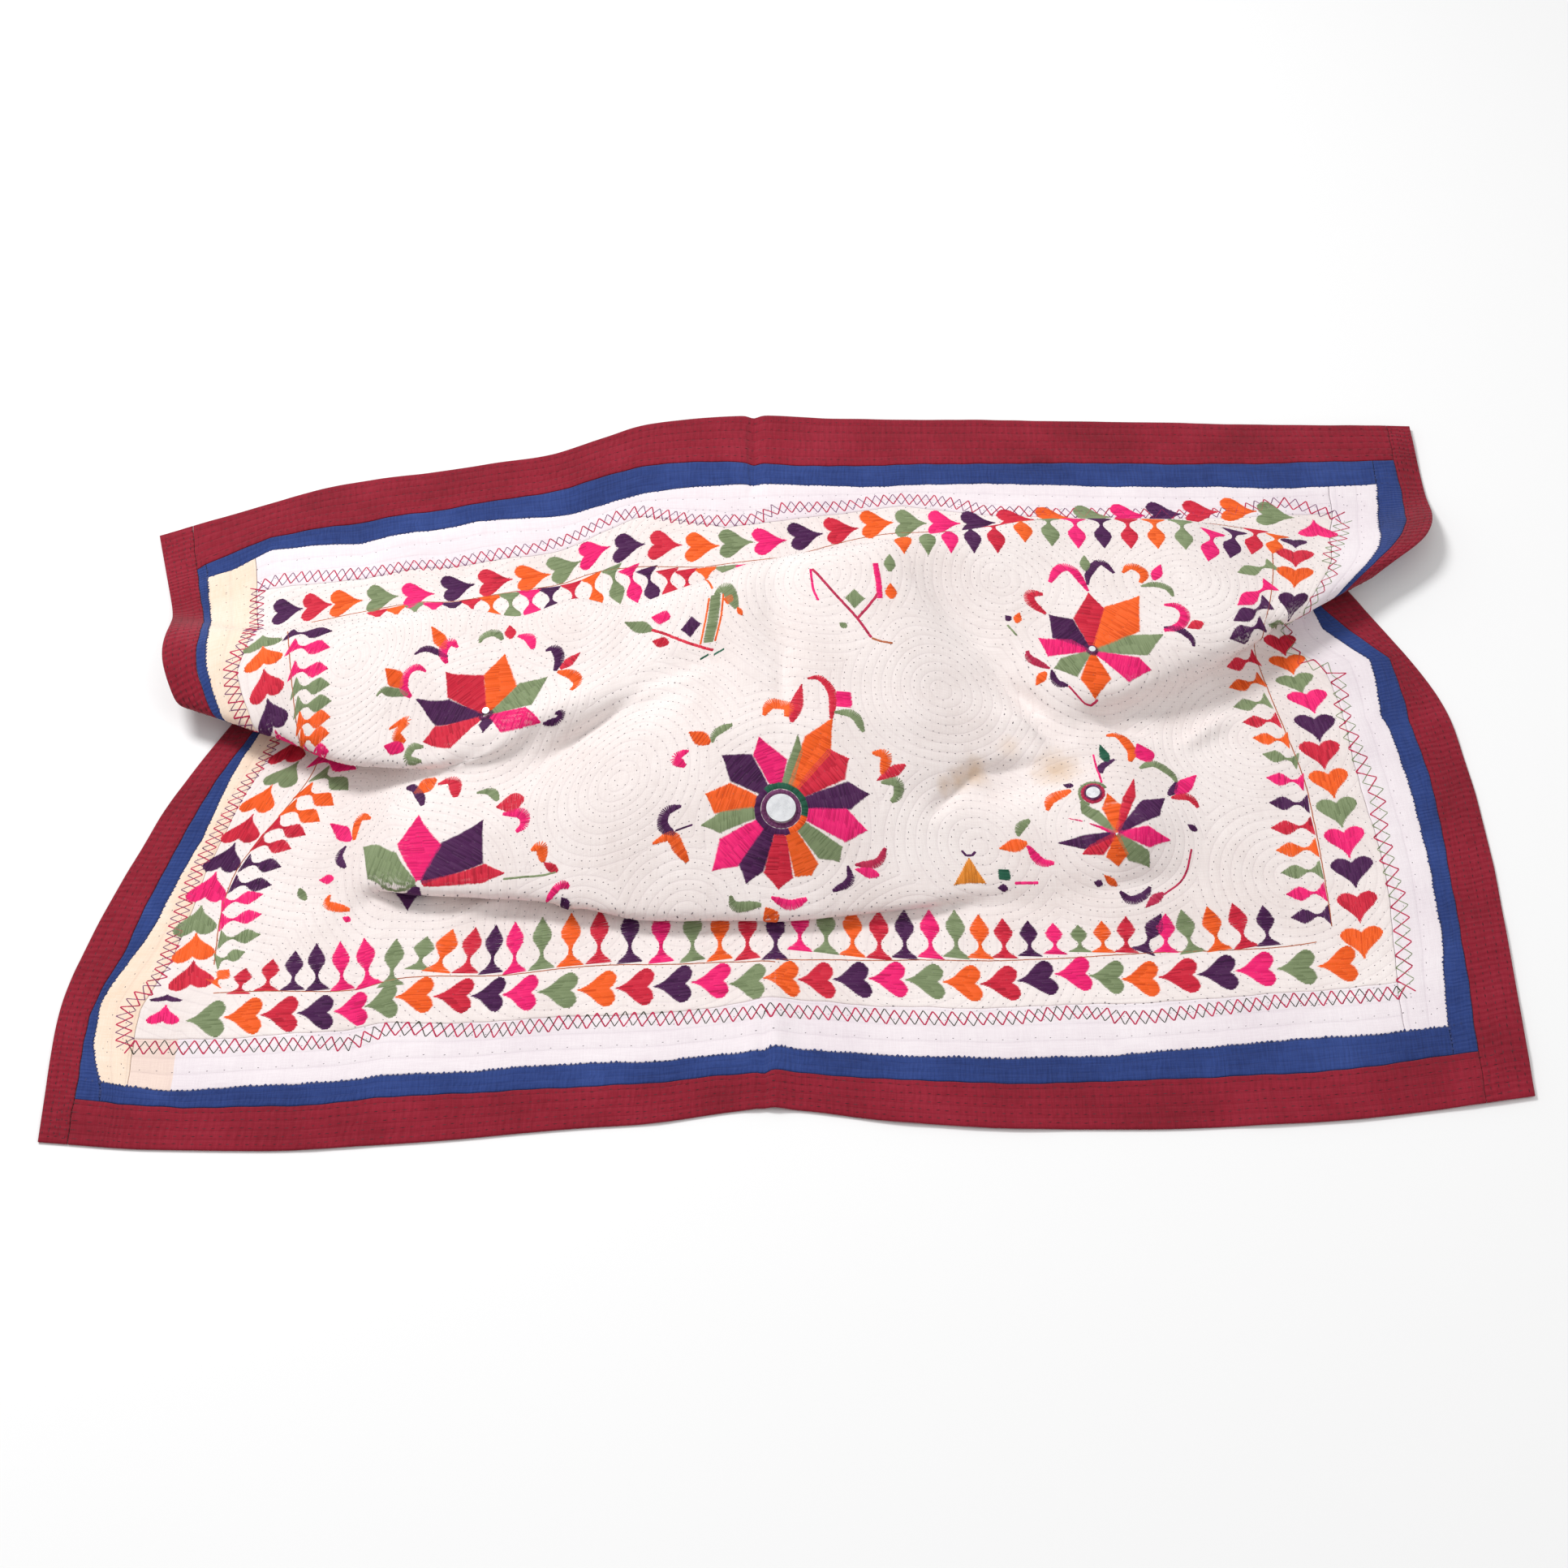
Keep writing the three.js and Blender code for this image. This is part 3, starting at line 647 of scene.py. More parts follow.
add_ring("crimson", 0, 8.0, all_sides(crimson_cloth))
add_ring("blue", 1, 7.0, all_sides(blue_cloth))
add_ring("band", 2, 13.0, all_sides(white_cloth, left=peach_cloth, front=patched_cloth))

# Middles of the rings of quilting stitches
QUILT_MIDDLES = chart("u v", """
    733 407   262 385   240 245   734 239   497 248   429 189   540 450   676 466   816 489   617 354
    380 300   330 470   640 230   590 150   150 300   150 470   340 180   860 330   860 200   430 560
""")
QUILT_PITCH = 7.5


def quilt_bend(u, v, number):
    """How far the rings round one middle stray from circles."""
    return 1.6 * np.sin(np.asarray(u) / 31 + number) * np.cos(np.asarray(v) / 27 + 2 * number)


def quilt_reach(u, v):
    """The distance from the nearest middle of the quilting, a little bent, and that middle's number."""
    middles = np.array([(row["u"], row["v"]) for row in QUILT_MIDDLES], float)
    away = np.hypot(np.asarray(u)[..., None] - middles[:, 0], np.asarray(v)[..., None] - middles[:, 1])
    nearest = away.argmin(axis=-1)
    return away.min(axis=-1) + quilt_bend(u, v, nearest), nearest


def ground_rows(u, v):
    reach, _ = quilt_reach(u, v)
    return np.stack([u * MM, reach / QUILT_PITCH, np.zeros_like(u)], axis=1)


ground = sheet_piece("cloth_ground", cream_cloth, (U_SEAMS[3], U_SEAMS[4]), (V_SEAMS[3], V_SEAMS[4]),
                     GROUND_STEPS, ground_rows, "ground")

# Embroidery


def smooth_path(points, steps=12):
    """A smooth curve through the points of a path (Catmull-Rom), and the length up to each place."""
    p = np.array(points, float)
    if len(p) > 2:
        p = np.concatenate([[2 * p[0] - p[1]], p, [2 * p[-1] - p[-2]]])
        t = (np.arange(steps) / steps)[:, None]
        spans = [
            0.5 * (2 * b + (c - a) * t + (2 * a - 5 * b + 4 * c - d) * t**2 + (3 * b - a - 3 * c + d) * t**3)
            for a, b, c, d in zip(p[:-3], p[1:-2], p[2:-1], p[3:])
        ]
        p = np.concatenate([*spans, p[-2:-1]])
    along = np.concatenate([[0], np.cumsum(np.linalg.norm(np.diff(p, axis=0), axis=1))])
    return p, along


def towards(degrees):
    """The unit direction that is turned so many degrees from u towards v."""
    return np.array([math.cos(math.radians(degrees)), math.sin(math.radians(degrees))])


def left_of(way):
    return np.array([-way[1], way[0]])


def point_on(points, along, place):
    return np.array([np.interp(place, along, points[:, axis]) for axis in (0, 1)])


def point_and_way(points, along, place, step):
    """A point of a path, and the way from step behind it to step ahead of it."""
    way = point_on(points, along, place + step) - point_on(points, along, place - step)
    return point_on(points, along, place), way


# Satin stitches, in millimetres: from one to the next, their width and rise, the shortest that is worked
# and the longest that lies firm, how far two that share a row run past each other, how unevenly their
# ends finish, and how far they lean
STITCH_PITCH = 0.85
STITCH_WIDTH = STITCH_PITCH * 1.25
STITCH_RISE = 0.6
SHORTEST_STITCH = 0.5
LONGEST_STITCH = 13.0
STITCH_LAP = 1.7
RAGGED_END = 0.25
STITCH_LEAN = 0.15

# Stem stitches run past each other too, and every stitch's edges and ends dip below the cloth's face
STEM_LAP = 0.8
EDGE_DIP = 0.12
END_TAPER = 0.45

# Shape of a stitch along its length: shares of the length and of the rise, for long and for short ones
LONG_STITCH = table("along rise", (0, -0.3), (0.12, 0.85), (0.5, 1), (0.88, 0.85), (1, -0.3))
SHORT_STITCH = table("along rise", (0, -0.2), (0.5, 1), (1, -0.2))


class Needlework:
    """Straight stitches of several dyes, gathered into one joined mesh of low rounded ribbons."""

    def __init__(self, name, seed, shape=LONG_STITCH):
        self.name = name
        self.local = np.random.default_rng(seed)
        self.shares = np.array([row["along"] for row in shape])[None, :, None]
        self.rises = np.array([row["rise"] for row in shape])[None, :, None]
        self.stitches = []

    def stray(self, reach):
        return self.local.uniform(-reach, reach)

    def stitch(self, start, end, dye, width, height):
        self.stitches.append((*start, *end, width, height, dye))

    def satin(self, start, end, dye):
        """One stitch, or a few end to end where it would be too long to lie firm."""
        start, end = np.array(start, float), np.array(end, float)
        reach = end - start
        length = np.linalg.norm(reach)
        pieces = max(1, math.ceil(length / LONGEST_STITCH))
        cuts = [0.0, *[(i + self.stray(0.12)) / pieces for i in range(1, pieces)], 1.0]
        lap = STITCH_LAP / (length + 1e-9)
        for number in range(pieces):
            low = cuts[number] - (lap if number > 0 else 0)
            high = cuts[number + 1] + (lap if number < pieces - 1 else 0)
            self.stitch(start + reach * low, start + reach * high, dye, STITCH_WIDTH, STITCH_RISE)

    def band(self, path, widths, dye):
        """Satin stitches across a shape that follows a path, with its half width at even steps along."""
        points, along = smooth_path(path)
        count = max(2, math.ceil(along[-1] / STITCH_PITCH))
        for i in range(count):
            share = (i + 0.5) / count
            here, way = point_and_way(points, along, share * along[-1], 0.6)
            way /= np.linalg.norm(way) + 1e-9
            side = left_of(way)
            half = np.interp(share, np.linspace(0, 1, len(widths)), widths)
            low = here - side * (half + self.stray(RAGGED_END))
            high = here + side * (half + self.stray(RAGGED_END))
            lean = way * self.stray(STITCH_LEAN)
            self.satin(low - lean, high + lean, dye)

    def fill(self, outline, turn, dye):
        """Satin stitches across a closed outline, along the direction turn in degrees."""
        way = towards(turn)
        side = left_of(way)
        ring = np.array(outline, float)
        a, b = ring @ way, ring @ side
        a2, b2 = np.roll(a, -1), np.roll(b, -1)
        for level in np.arange(b.min() + STITCH_PITCH / 2, b.max(), STITCH_PITCH):
            crossed = (b <= level) != (b2 <= level)
            share = (level - b[crossed]) / (b2[crossed] - b[crossed])
            hits = np.sort(a[crossed] + (a2[crossed] - a[crossed]) * share)
            for low, high in zip(hits[::2], hits[1::2]):
                if high - low < SHORTEST_STITCH:
                    continue
                low += self.stray(RAGGED_END)
                high += self.stray(RAGGED_END)
                self.satin(way * low + side * level, way * high + side * level, dye)

    def line(self, path, dye, width=1.0, step=4.2, height=0.45):
        """Stem stitches along a path, each running a little past the start of the next."""
        points, along = smooth_path(path)
        count = max(1, round(along[-1] / step))
        for i in range(count):
            start = point_on(points, along, along[-1] * i / count)
            end = point_on(points, along, along[-1] * (i + 1) / count + STEM_LAP)
            start, end = np.array([start, end]) + self.local.uniform(-0.15, 0.15, (2, 2))
            self.stitch(start, end, dye, width, height)

    def ring(self, centre, inner, outer, dye, start, end):
        """Stitches that run outwards from a small round thing, from one direction to another."""
        count = max(3, round(math.radians(end - start) * (inner + outer) / 2 / STITCH_PITCH))
        for i in range(count):
            way = towards(start + (end - start) * (i + 0.5) / count)
            reach = outer + self.stray(0.3)
            self.stitch(np.array(centre) + way * inner, np.array(centre) + way * reach, dye, 1.2, 0.8)

    def finish(self):
        """Lays all the stitches on the cloth as one piece."""
        dyes = sorted({stitch[6] for stitch in self.stitches})
        values = np.array([stitch[:6] for stitch in self.stitches])
        start, end, width, height = values[:, :2], values[:, 2:4], values[:, 4], values[:, 5]
        reach = end - start
        length = np.linalg.norm(reach, axis=1) + 1e-9
        side = np.stack([-reach[:, 1], reach[:, 0]], axis=1) / length[:, None]
        sides = np.array([-1.0, 0.0, 1.0])[None, None, :]
        taper = np.where(self.rises < 0, END_TAPER, 1.0)
        offset = sides * taper * (width / 2)[:, None, None]
        u, v = [
            start[:, axis, None, None] + reach[:, axis, None, None] * self.shares
            + side[:, axis, None, None] * offset
            for axis in (0, 1)
        ]
        rise = self.rises * height[:, None, None] + 0 * sides
        lift = SHEET / 2 + np.where(sides == 0, rise, np.minimum(rise, -EDGE_DIP))
        points = on_cloth(u.ravel(), v.ravel(), lift.ravel())
        steps = self.shares.shape[1]
        index = np.arange(len(values) * steps * 3).reshape(len(values), steps, 3)
        corners = [index[:, :-1, :-1], index[:, 1:, :-1], index[:, 1:, 1:], index[:, :-1, 1:]]
        along = (length[:, None, None] * self.shares + 0 * sides) * MM
        chance = self.local.uniform(0, 1, len(values))[:, None, None] + 0 * along
        strand = np.stack([along, np.broadcast_to(sides, along.shape), chance], axis=-1)
        cloth = np.stack([u.ravel(), v.ravel(), np.zeros(u.size)], axis=1) * MM
        slots = np.repeat([dyes.index(stitch[6]) for stitch in self.stitches], (steps - 1) * 2)
        return make_mesh(self.name, points, np.stack(corners, axis=-1).reshape(-1, 4).tolist(),
                         [thread_material(dye) for dye in dyes], slots,
                         {"strand": strand.reshape(-1, 3), "cloth": cloth})


# Dyes of the threads: name, colour, and a deeper colour that darker stitches take and that is painted as
# shade at each stitch's edges
DYES = {row["dye"]: row for row in table(
    "dye colour deep",
    ("red", "d5233f", "a3152c"),
    ("crimson", "bf2650", "93173a"),
    ("orange", "f4661c", "cf450c"),
    ("gold", "e58e2b", "b96a16"),
    ("sage", "85946c", "66754f"),
    ("pink", "f21a78", "c00c56"),
    ("purple", "4d1450", "300835"),
    ("green", "1f6048", "12402f"),
    ("olive", "3b3a2c", "24231a"),
    ("plum", "7b3f6d", "552547"),
    ("grey", "6f676e", "554d54"),
    ("wine", "5a0d1e", "3c0712"),
    ("navy", "28386f", "1c2850"),
    ("rust", "b5623a", "8c4526"),
)}
THREADS = {}


def thread_material(dye):
    """Six-strand cotton: each stitch a little lighter or darker, with the twist of its plies and painted
    shade towards its edges.
    """
    if dye in THREADS:
        return THREADS[dye]
    row = DYES[dye]
    n = Nodes(f"thread_{dye}")
    along, side, chance = n.add("ShaderNodeSeparateXYZ", {0: n.attribute("strand")}).outputs
    worn = n.noise(n.attribute("cloth"), 38.0, 3.0)
    shade = n.maths("MULTIPLY_ADD", chance, 0.55, n.maths("MULTIPLY", worn, 0.45))
    base = linear(row["colour"])
    pale = tuple(min(1.0, c * 1.1 + 0.02) for c in base[:3]) + (1.0,)
    tone = n.ramp(shade, (0.12, linear(row["deep"])), (0.42, base), (0.85, pale))
    # Painted shade: each stitch darkens towards the deeper dye at its rounded edges.
    edge = n.maths("POWER", n.maths("ABSOLUTE", side), 3.0)
    tone = n.mix(n.maths("MULTIPLY", edge, 0.35), tone, linear(row["deep"]))
    ply = n.maths("ADD", along, n.maths("MULTIPLY", side, 0.0006))
    twist = n.stripes(ply, 0.0009)
    THREADS[dye] = n.surface({
        "Base Color": tone, "Normal": n.bump(twist, 0.00012, 0.7), "Roughness": 0.62,
        "Specular IOR Level": 0.25, "Sheen Weight": 0.1, "Sheen Roughness": 0.4,
    })
    return THREADS[dye]


# The rows of hearts round the border. The line of each row passes through a few of its hearts, counted
# from its start; the dyes take turns, and the tips all point one way (degrees).
HEART_ROWS = table(
    "row tip dyes",
    ("front", 180, "sage orange red purple pink"),
    ("rear", 0, "purple red orange sage pink"),
    ("left_rear", 90, "sage orange red purple pink"),
    ("left_front", 90, "sage orange red purple pink"),
    ("right_rear", -90, "red orange purple sage pink"),
    ("right_front", -90, "red orange sage pink purple"),
)
HEART_PLACES = charts("count u v",
    front="""
        0 99 104   2 147 109   4 197 115   6 239 121   9 311 114   14 447 107   15 473 102   17 521 106
        19 570 114   22 646 119   24 697 129   26 743 124   29 822 128   31 880 127
    """,
    rear="""
        0 92 599   2 140 592   4 201 584   5 235 590   7 295 590   9 347 601   12 436 582   14 490 584
        17 577 604   20 662 600   27 867 620   28 894 615
    """,
    left_rear="""
        0 71 524   1 71 507   3 70 456   7 74 352
    """,
    left_front="""
        0 84 327   1 76 303   2 75 274   4 70 220   5 71 190   7 82 142
    """,
    right_rear="""
        0 899 542   1 899 515   2 902 482   3 903 454
    """,
    right_front="""
        0 904 425   2 902 385   3 905 366   5 898 314   9 902 205   11 900 143
    """)
# Hearts of their own at the corners
CORNER_HEARTS = chart("dye u v tip length breadth", """
    pink 71 108 90 18 22   purple 70 122 90 7 22   purple 901 566 -90 18 20   pink 921 597 90 30 28
""")
# Half the outline of a heart: share of its length from the tip, and share of half its breadth
HEART_OUTLINE = chart("along half", """
    0 0.03   0.12 0.1   0.25 0.25   0.4 0.52   0.55 0.82   0.68 0.97   0.8 1   0.92 0.9   1 0.64
    0.99 0.38   0.93 0.15   0.85 0
""")

# The rows of goblets inside the hearts, from their bases to their tips, in the same form
GOBLET_ROWS = table(
    "row dyes",
    ("front_corner", "red red purple purple pink pink sage sage"),
    ("front", "orange red purple pink sage"),
    ("rear", "red orange sage pink purple"),
    ("rear_middle", "red orange sage pink purple"),
    ("rear_right", "orange sage pink purple red"),
    ("left_rear", "purple pink pink sage sage orange orange pink"),
    ("left_front", "pink sage orange orange red red purple purple pink pink sage sage orange"),
    ("right_rear", "sage pink purple purple"),
    ("right_front", "red orange sage red orange sage pink purple red orange sage pink purple"),
)
GOBLET_PLACES = charts("count base tip",
    front_corner="""
        0 117,125 117,147   1 135,128 134,155   3 171,131 163,171   5 208,134 200,179   6 223,131 224,172
        7 240,143 244,172
    """,
    front="""
        0 251,140 259,177   3 306,132 304,177   6 366,133 366,179   9 434,126 434,171   12 493,119 493,165
        13 510,129 510,168   16 565,130 565,172   19 618,138 618,180   21 651,141 651,176
        24 704,148 704,172   26 736,147 738,177   27 747,147 762,178   28 763,146 765,178
        29 781,145 776,181   31 818,147 812,185   32 834,148 833,182
    """,
    rear="""
        0 165,575 165,531   4 228,573 228,529   9 306,577 306,532   12 360,580 365,536
        14 390,568 395,525   15 407,563 409,519
    """,
    rear_middle="""
        0 422,560 423,514   4 486,558 486,512   9 572,560 573,512
    """,
    rear_right="""
        0 591,523 591,475   1 611,524 611,476   4 667,537 667,489   5 689,557 689,509   8 751,569 751,521
        11 815,573 815,525   12 839,563 831,515   14 875,588 866,540   15 890,580 882,545
    """,
    left_rear="""
        0 90,524 124,505   1 91,506 122,488   2 91,482 121,468   4 92,450 125,438   7 93,412 124,400
    """,
    left_front="""
        0 100,340 138,326   1 110,324 143,306   3 101,292 134,276   5 90,260 120,252   7 86,222 116,220
        8 84,204 112,212   10 92,172 120,176   12 98,134 106,146
    """,
    right_rear="""
        0 882,529 853,510   1 880,503 852,472   3 878,462 846,438
    """,
    right_front="""
        0 878,415 848,406   2 875,371 846,367   5 880,310 856,318   8 880,250 849,249   12 880,171 852,171
    """)
# A goblet's half width in millimetres at shares of its length, from the base to the tip
GOBLET_OUTLINE = chart("along half", """
    0 8.5   0.06 7.0   0.12 4.6   0.18 2.6   0.24 1.5   0.32 1.1   0.38 1.7   0.46 3.7   0.56 5.7
    0.66 6.2   0.76 5.2   0.86 3.2   0.94 1.4   1 0.3
""")
# Lines of rust thread under the goblets
BASE_LINES = chart("path", """
    100,126/171,130/240,137/306,131/366,131/434,124/493,117
    493,119/565,129/618,136/687,142/745,146/834,146/868,148
    110,578/165,577/228,574/306,578/340,581/400,567/437,560
    437,560/500,566/567,590/620,592/700,588/800,592/875,588
    90,530/91,482/92,430/97,370/105,318/96,275/86,240/86,200/95,150
    882,545/880,482/878,415/878,340/881,280/881,210/880,160
""")

# The zigzags: how long one wave is, the dye of the second thread, and the middle line
ZIGZAGS = chart("period second line", """
    13 olive 49,80/100,81/150,84/175,87/200,86/225,94/262,90/300,85/375,85/462,77/500,77/
        550,82/600,85/650,90/700,96/737,91/800,97/850,100/925,97
    13 plum 49,80/45,107/50,122/59,135/60,165/57,192/55,230/54,317/56,340/50,405/46,470/45,492/
        50,517/60,535/66,592/69,634
    14 plum 69,634/90,634/150,620/200,617/250,619/300,621/340,627/380,629/420,614/450,607/
        480,609/500,620/540,622/590,630/640,625/680,615/780,615/850,617/900,630/942,615
    21 sage 942,612/935,585/925,542/930,522/912,427/915,407/937,392/932,375/925,350/924,330/
        925,300/930,275/927,230/930,175/927,125/925,97
""")
ZIGZAG_HALF = 6.0

# The rosettes, the birds and the small figures were read from two flattened views of the cloth, in
# quarters of a millimetre from a view's upper left corner, which is at u "view" and v VIEW_TOP. Each group
# also has its middle and the radius of the round space that a rosette's petals start from.
VIEW_TOP = 530
READINGS_PER_MM = 4
GROUPS = chart("group view u v ring", """
    centre 90 497 248 20   rear_right 500 733 407 4   rear_left 90 262 385 4   front_left 90 240 245 3
    front_right 500 734 239 2   bird_rear 90 438 415 0   bird_right 500 560 418 0   toy 500 640 210 0
""")
# Readings of the petals: their tip and their two shoulders
PETALS = charts("dye tip one other",
    rear_right="""
        red 935,265 885,370 980,325   orange 1090,265 985,315 1085,400   sage 1155,410 1050,420 1105,490
        pink 1110,540 1075,505 1040,590   orange 930,650 890,600 985,590   sage 815,570 835,535 880,595
        pink 775,470 800,530 870,460   purple 810,375 815,460 880,380
    """,
    rear_left="""
        orange 708,365 660,430 760,485   red 545,395 655,430 565,480   purple 455,505 570,490 540,580
        red 510,640 540,585 600,670   sage 850,475 770,480 820,570   pink 860,635 800,580 740,645
        purple 690,640 672,610 716,612
    """,
    front_left="""
        pink 575,925 530,1030 645,1020   purple 740,950 650,1010 750,1080   red 820,1120 760,1085 760,1140
        purple 560,1330 500,1230 610,1230   sage 395,1105 520,1060 440,1200
    """,
    front_right="""
        orange 925,1040 905,1085 955,1075   red 1005,985 965,1050 1002,1050
        purple 1090,1045 1020,1060 1060,1110   pink 1085,1180 1020,1145 1020,1205
        sage 1020,1255 1020,1215 965,1240   orange 935,1250 965,1225 905,1230
        red 840,1215 895,1225 865,1190   purple 775,1180 850,1160 850,1205
        pink 785,1100 845,1115 880,1130   sage 850,1055 850,1095 895,1090
    """,
    centre="""
        sage 1678,902 1647,986 1694,954   orange 1777,845 1698,906 1770,950
        red 1822,965 1765,935 1812,1022   purple 1876,1062 1821,1034 1830,1110
        pink 1868,1168 1815,1110 1810,1207   sage 1790,1262 1800,1225 1735,1262
        orange 1712,1308 1732,1278 1668,1318   red 1622,1350 1582,1310 1660,1325
        purple 1530,1332 1510,1278 1576,1308   pink 1434,1280 1452,1198 1505,1285
        sage 1400,1145 1450,1118 1450,1180   orange 1414,1055 1477,1040 1437,1118
        purple 1456,952 1540,960 1481,1034   pink 1565,912 1546,965 1643,974
    """)
# Readings of the horns, leaves, stems, bars and patches: their half width in millimetres and their path
MOTIFS = charts("kind dye half path",
    rear_right="""
        horn pink 2.6 935,250/890,160/850,170/820,240   horn purple 2.2 935,225/945,170/985,110/1025,160
        leaf sage 3 935,85/935,160   horn orange 2.6 1050,155/1075,125/1105,130/1120,165/1105,200
        leaf pink 3.2 1175,110/1150,185   horn sage 2 1105,215/1150,205/1190,215/1205,250
        horn pink 2.6 1170,290/1210,290/1235,325/1215,370/1165,395   leaf red 3 1240,375/1290,345
        horn purple 2 1165,385/1215,390/1250,415/1255,440   horn red 2.6 800,370/755,330/760,300/795,295
        leaf orange 2.2 720,380/710,420   leaf purple 2 676,398/694,412   line sage 1 680,430/710,465
        horn crimson 2 800,575/745,545/735,515   leaf orange 2.6 755,630/790,590
        horn purple 1.8 805,580/815,620/850,630   line crimson 1 850,630/910,680/940,655
    """,
    rear_left="""
        leaf orange 4.2 470,230/530,310   horn pink 2.6 570,305/540,280/520,320/540,360
        horn purple 2 420,330/470,318/540,335   horn sage 2.2 630,300/640,275/670,270/695,300
        leaf red 3 710,240/720,300   horn pink 2.4 740,290/775,310/790,355
        horn purple 2.6 830,370/860,370/880,410/870,455   leaf red 3 945,405/890,450
        horn orange 2.6 880,460/930,480/950,515/935,545   horn purple 1.8 870,640/915,640/925,620/905,615
        horn pink 2.6 470,400/430,385/400,400/400,450/430,490   leaf orange 4.2 318,340/390,440
        horn sage 2.2 300,430/320,415/350,440/420,480   horn orange 2.6 370,575/430,575/400,610/440,650
        leaf pink 3.6 360,630/440,680   horn sage 2.2 510,700/460,710/470,670/510,655
    """,
    front_left="""
        horn purple 2.6 470,850/510,830/555,850/575,885   leaf orange 5.5 520,845/575,775
        horn red 2.6 590,800/630,790/655,850   horn sage 2.2 705,835/745,835/775,880
        leaf red 6 775,905/860,890   horn pink 2.6 800,930/860,940/870,975/850,995
        horn orange 2.6 900,1060/930,1050/940,1100   leaf red 2 940,1100/985,1138
        line sage 1 820,1135/980,1140   leaf pink 4.2 215,1025/330,1080
        horn orange 2.6 380,1000/330,1000/340,1080   horn purple 2.4 310,1100/295,1140/335,1175
        leaf pink 3 250,1220/300,1210   horn sage 2 190,1250/205,1272/225,1290
        horn orange 2.4 300,1270/300,1305/380,1310   leaf pink 2 358,1335/388,1345
        horn pink 2 955,1215/990,1185/1020,1200   leaf purple 2 1000,1218/1020,1262
    """,
    front_right="""
        horn orange 2.6 950,790/990,790/1020,850/1010,905   leaf pink 5.5 1045,822/1068,898
        horn sage 2.4 1030,930/1080,905/1130,940/1140,970   horn purple 2 1140,970/1130,1000/1105,1030
        leaf pink 4 1210,935/1130,1020   horn red 2.2 1110,1035/1170,1025/1190,1060
        leaf green 2.6 928,825/942,905   horn purple 2 965,890/925,920/915,955
        line pink 1 905,860/910,1000   horn orange 2.6 750,1080/770,1040/825,1015
        leaf purple 2 803,990/830,1000   horn sage 2.2 665,1160/670,1130/700,1110
        leaf orange 3.6 610,1200/690,1180   horn pink 2.2 690,1190/720,1235/760,1240
        leaf purple 2 868,1295/893,1305   leaf orange 2 898,1278/932,1312
        horn purple 2.2 940,1330/970,1365/1010,1350/1025,1320   leaf crimson 2.6 1010,1390/1060,1340
        line crimson 1 1150,1200/1120,1290/1060,1350   leaf purple 2 1148,1122/1174,1138
    """,
    centre="""
        horn orange 3.2 1575,835/1600,790/1650,800/1645,840   leaf red 3.6 1690,720/1660,860
        horn red 2 1710,700/1750,700/1780,750/1775,840   block pink 6 1811,740/1811,797
        horn sage 2.2 1785,815/1840,820/1870,870   horn orange 2.6 1890,935/1930,940/1920,1000
        leaf red 3 1905,1020/1990,965   horn sage 2.4 1915,1025/1965,1020/1965,1060/1945,1080
        horn crimson 2 1835,1270/1900,1260/1925,1215   leaf pink 2.8 1835,1285/1905,1298
        horn purple 1.8 1815,1275/1820,1320/1770,1350   horn sage 2.2 1485,1365/1500,1395/1570,1400
        leaf orange 4 1585,1408/1614,1452   horn pink 2.2 1600,1380/1650,1400/1700,1380
        horn purple 2.6 1335,1070/1290,1075/1285,1115/1320,1150   line purple 1 1320,1140/1370,1135
        horn orange 2.6 1255,1160/1310,1150/1330,1190/1360,1240   leaf orange 3.6 1345,845/1410,900
        horn sage 2.2 1420,900/1430,870/1480,855   horn pink 2.4 1350,905/1310,915/1340,950
    """,
    bird_rear="""
        block sage 5.2 1380,530/1395,450/1405,370   line orange 1.2 1352,530/1368,450/1380,375
        line orange 1.2 1405,535/1422,455/1430,375   horn sage 3.5 1400,370/1440,358/1480,440
        leaf orange 3 1432,395/1468,408   leaf orange 1.6 1480,438/1500,468
        line orange 1.2 1370,260/1390,345   line red 1.4 1175,420/1290,500/1400,565
        patch purple 0 1315,420/1350,460/1315,500/1280,462   leaf pink 4 1175,370/1238,402
        leaf sage 3.4 1085,345/1180,425   leaf red 3 1185,465/1238,495   line green 1.2 1350,582/1382,574
        line green 1.2 1400,582/1440,574
    """,
    bird_right="""
        line crimson 1.4 85,300/150,390/215,475/255,545   line pink 1.2 80,300/90,380/105,420
        line crimson 1.4 215,475/250,430/280,380   block pink 2.4 270,270/278,335/285,400
        leaf sage 3.2 315,230/315,300   patch sage 0 210,368/240,405/210,443/180,405
        leaf orange 3.2 316,345/320,398   leaf sage 2 165,498/186,512
        line rust 1.2 255,545/290,556/320,560
    """,
    toy="""
        patch gold 0 520,1230/470,1325/565,1310   line purple 1.2 500,1215/520,1235/540,1215
        block green 4.4 615,1262/615,1298   leaf purple 2 597,1320/626,1322
        line pink 1.4 645,1305/710,1300
    """)
# Half widths along each kind of motif, as shares of its greatest half width
PROFILES = {
    "horn": (0.25, 0.75, 1, 1, 0.8, 0.35),
    "leaf": (0.08, 0.42, 0.75, 1, 1, 0.7, 0.25),
    "block": (0.9, 1, 1, 1, 0.9),
}
FULLNESS = {"horn": 1.8, "leaf": 1.6, "block": 1.1}


def row_places(known, columns):
    """Every place of one row, from the few that its chart gives."""
    counts = [place["count"] for place in known]
    wanted = np.arange(counts[0], counts[-1] + 1)
    values = np.array([np.ravel([place[column] for column in columns]) for place in known], float)
    return np.stack([np.interp(wanted, counts, values[:, i]) for i in range(values.shape[1])], axis=1)


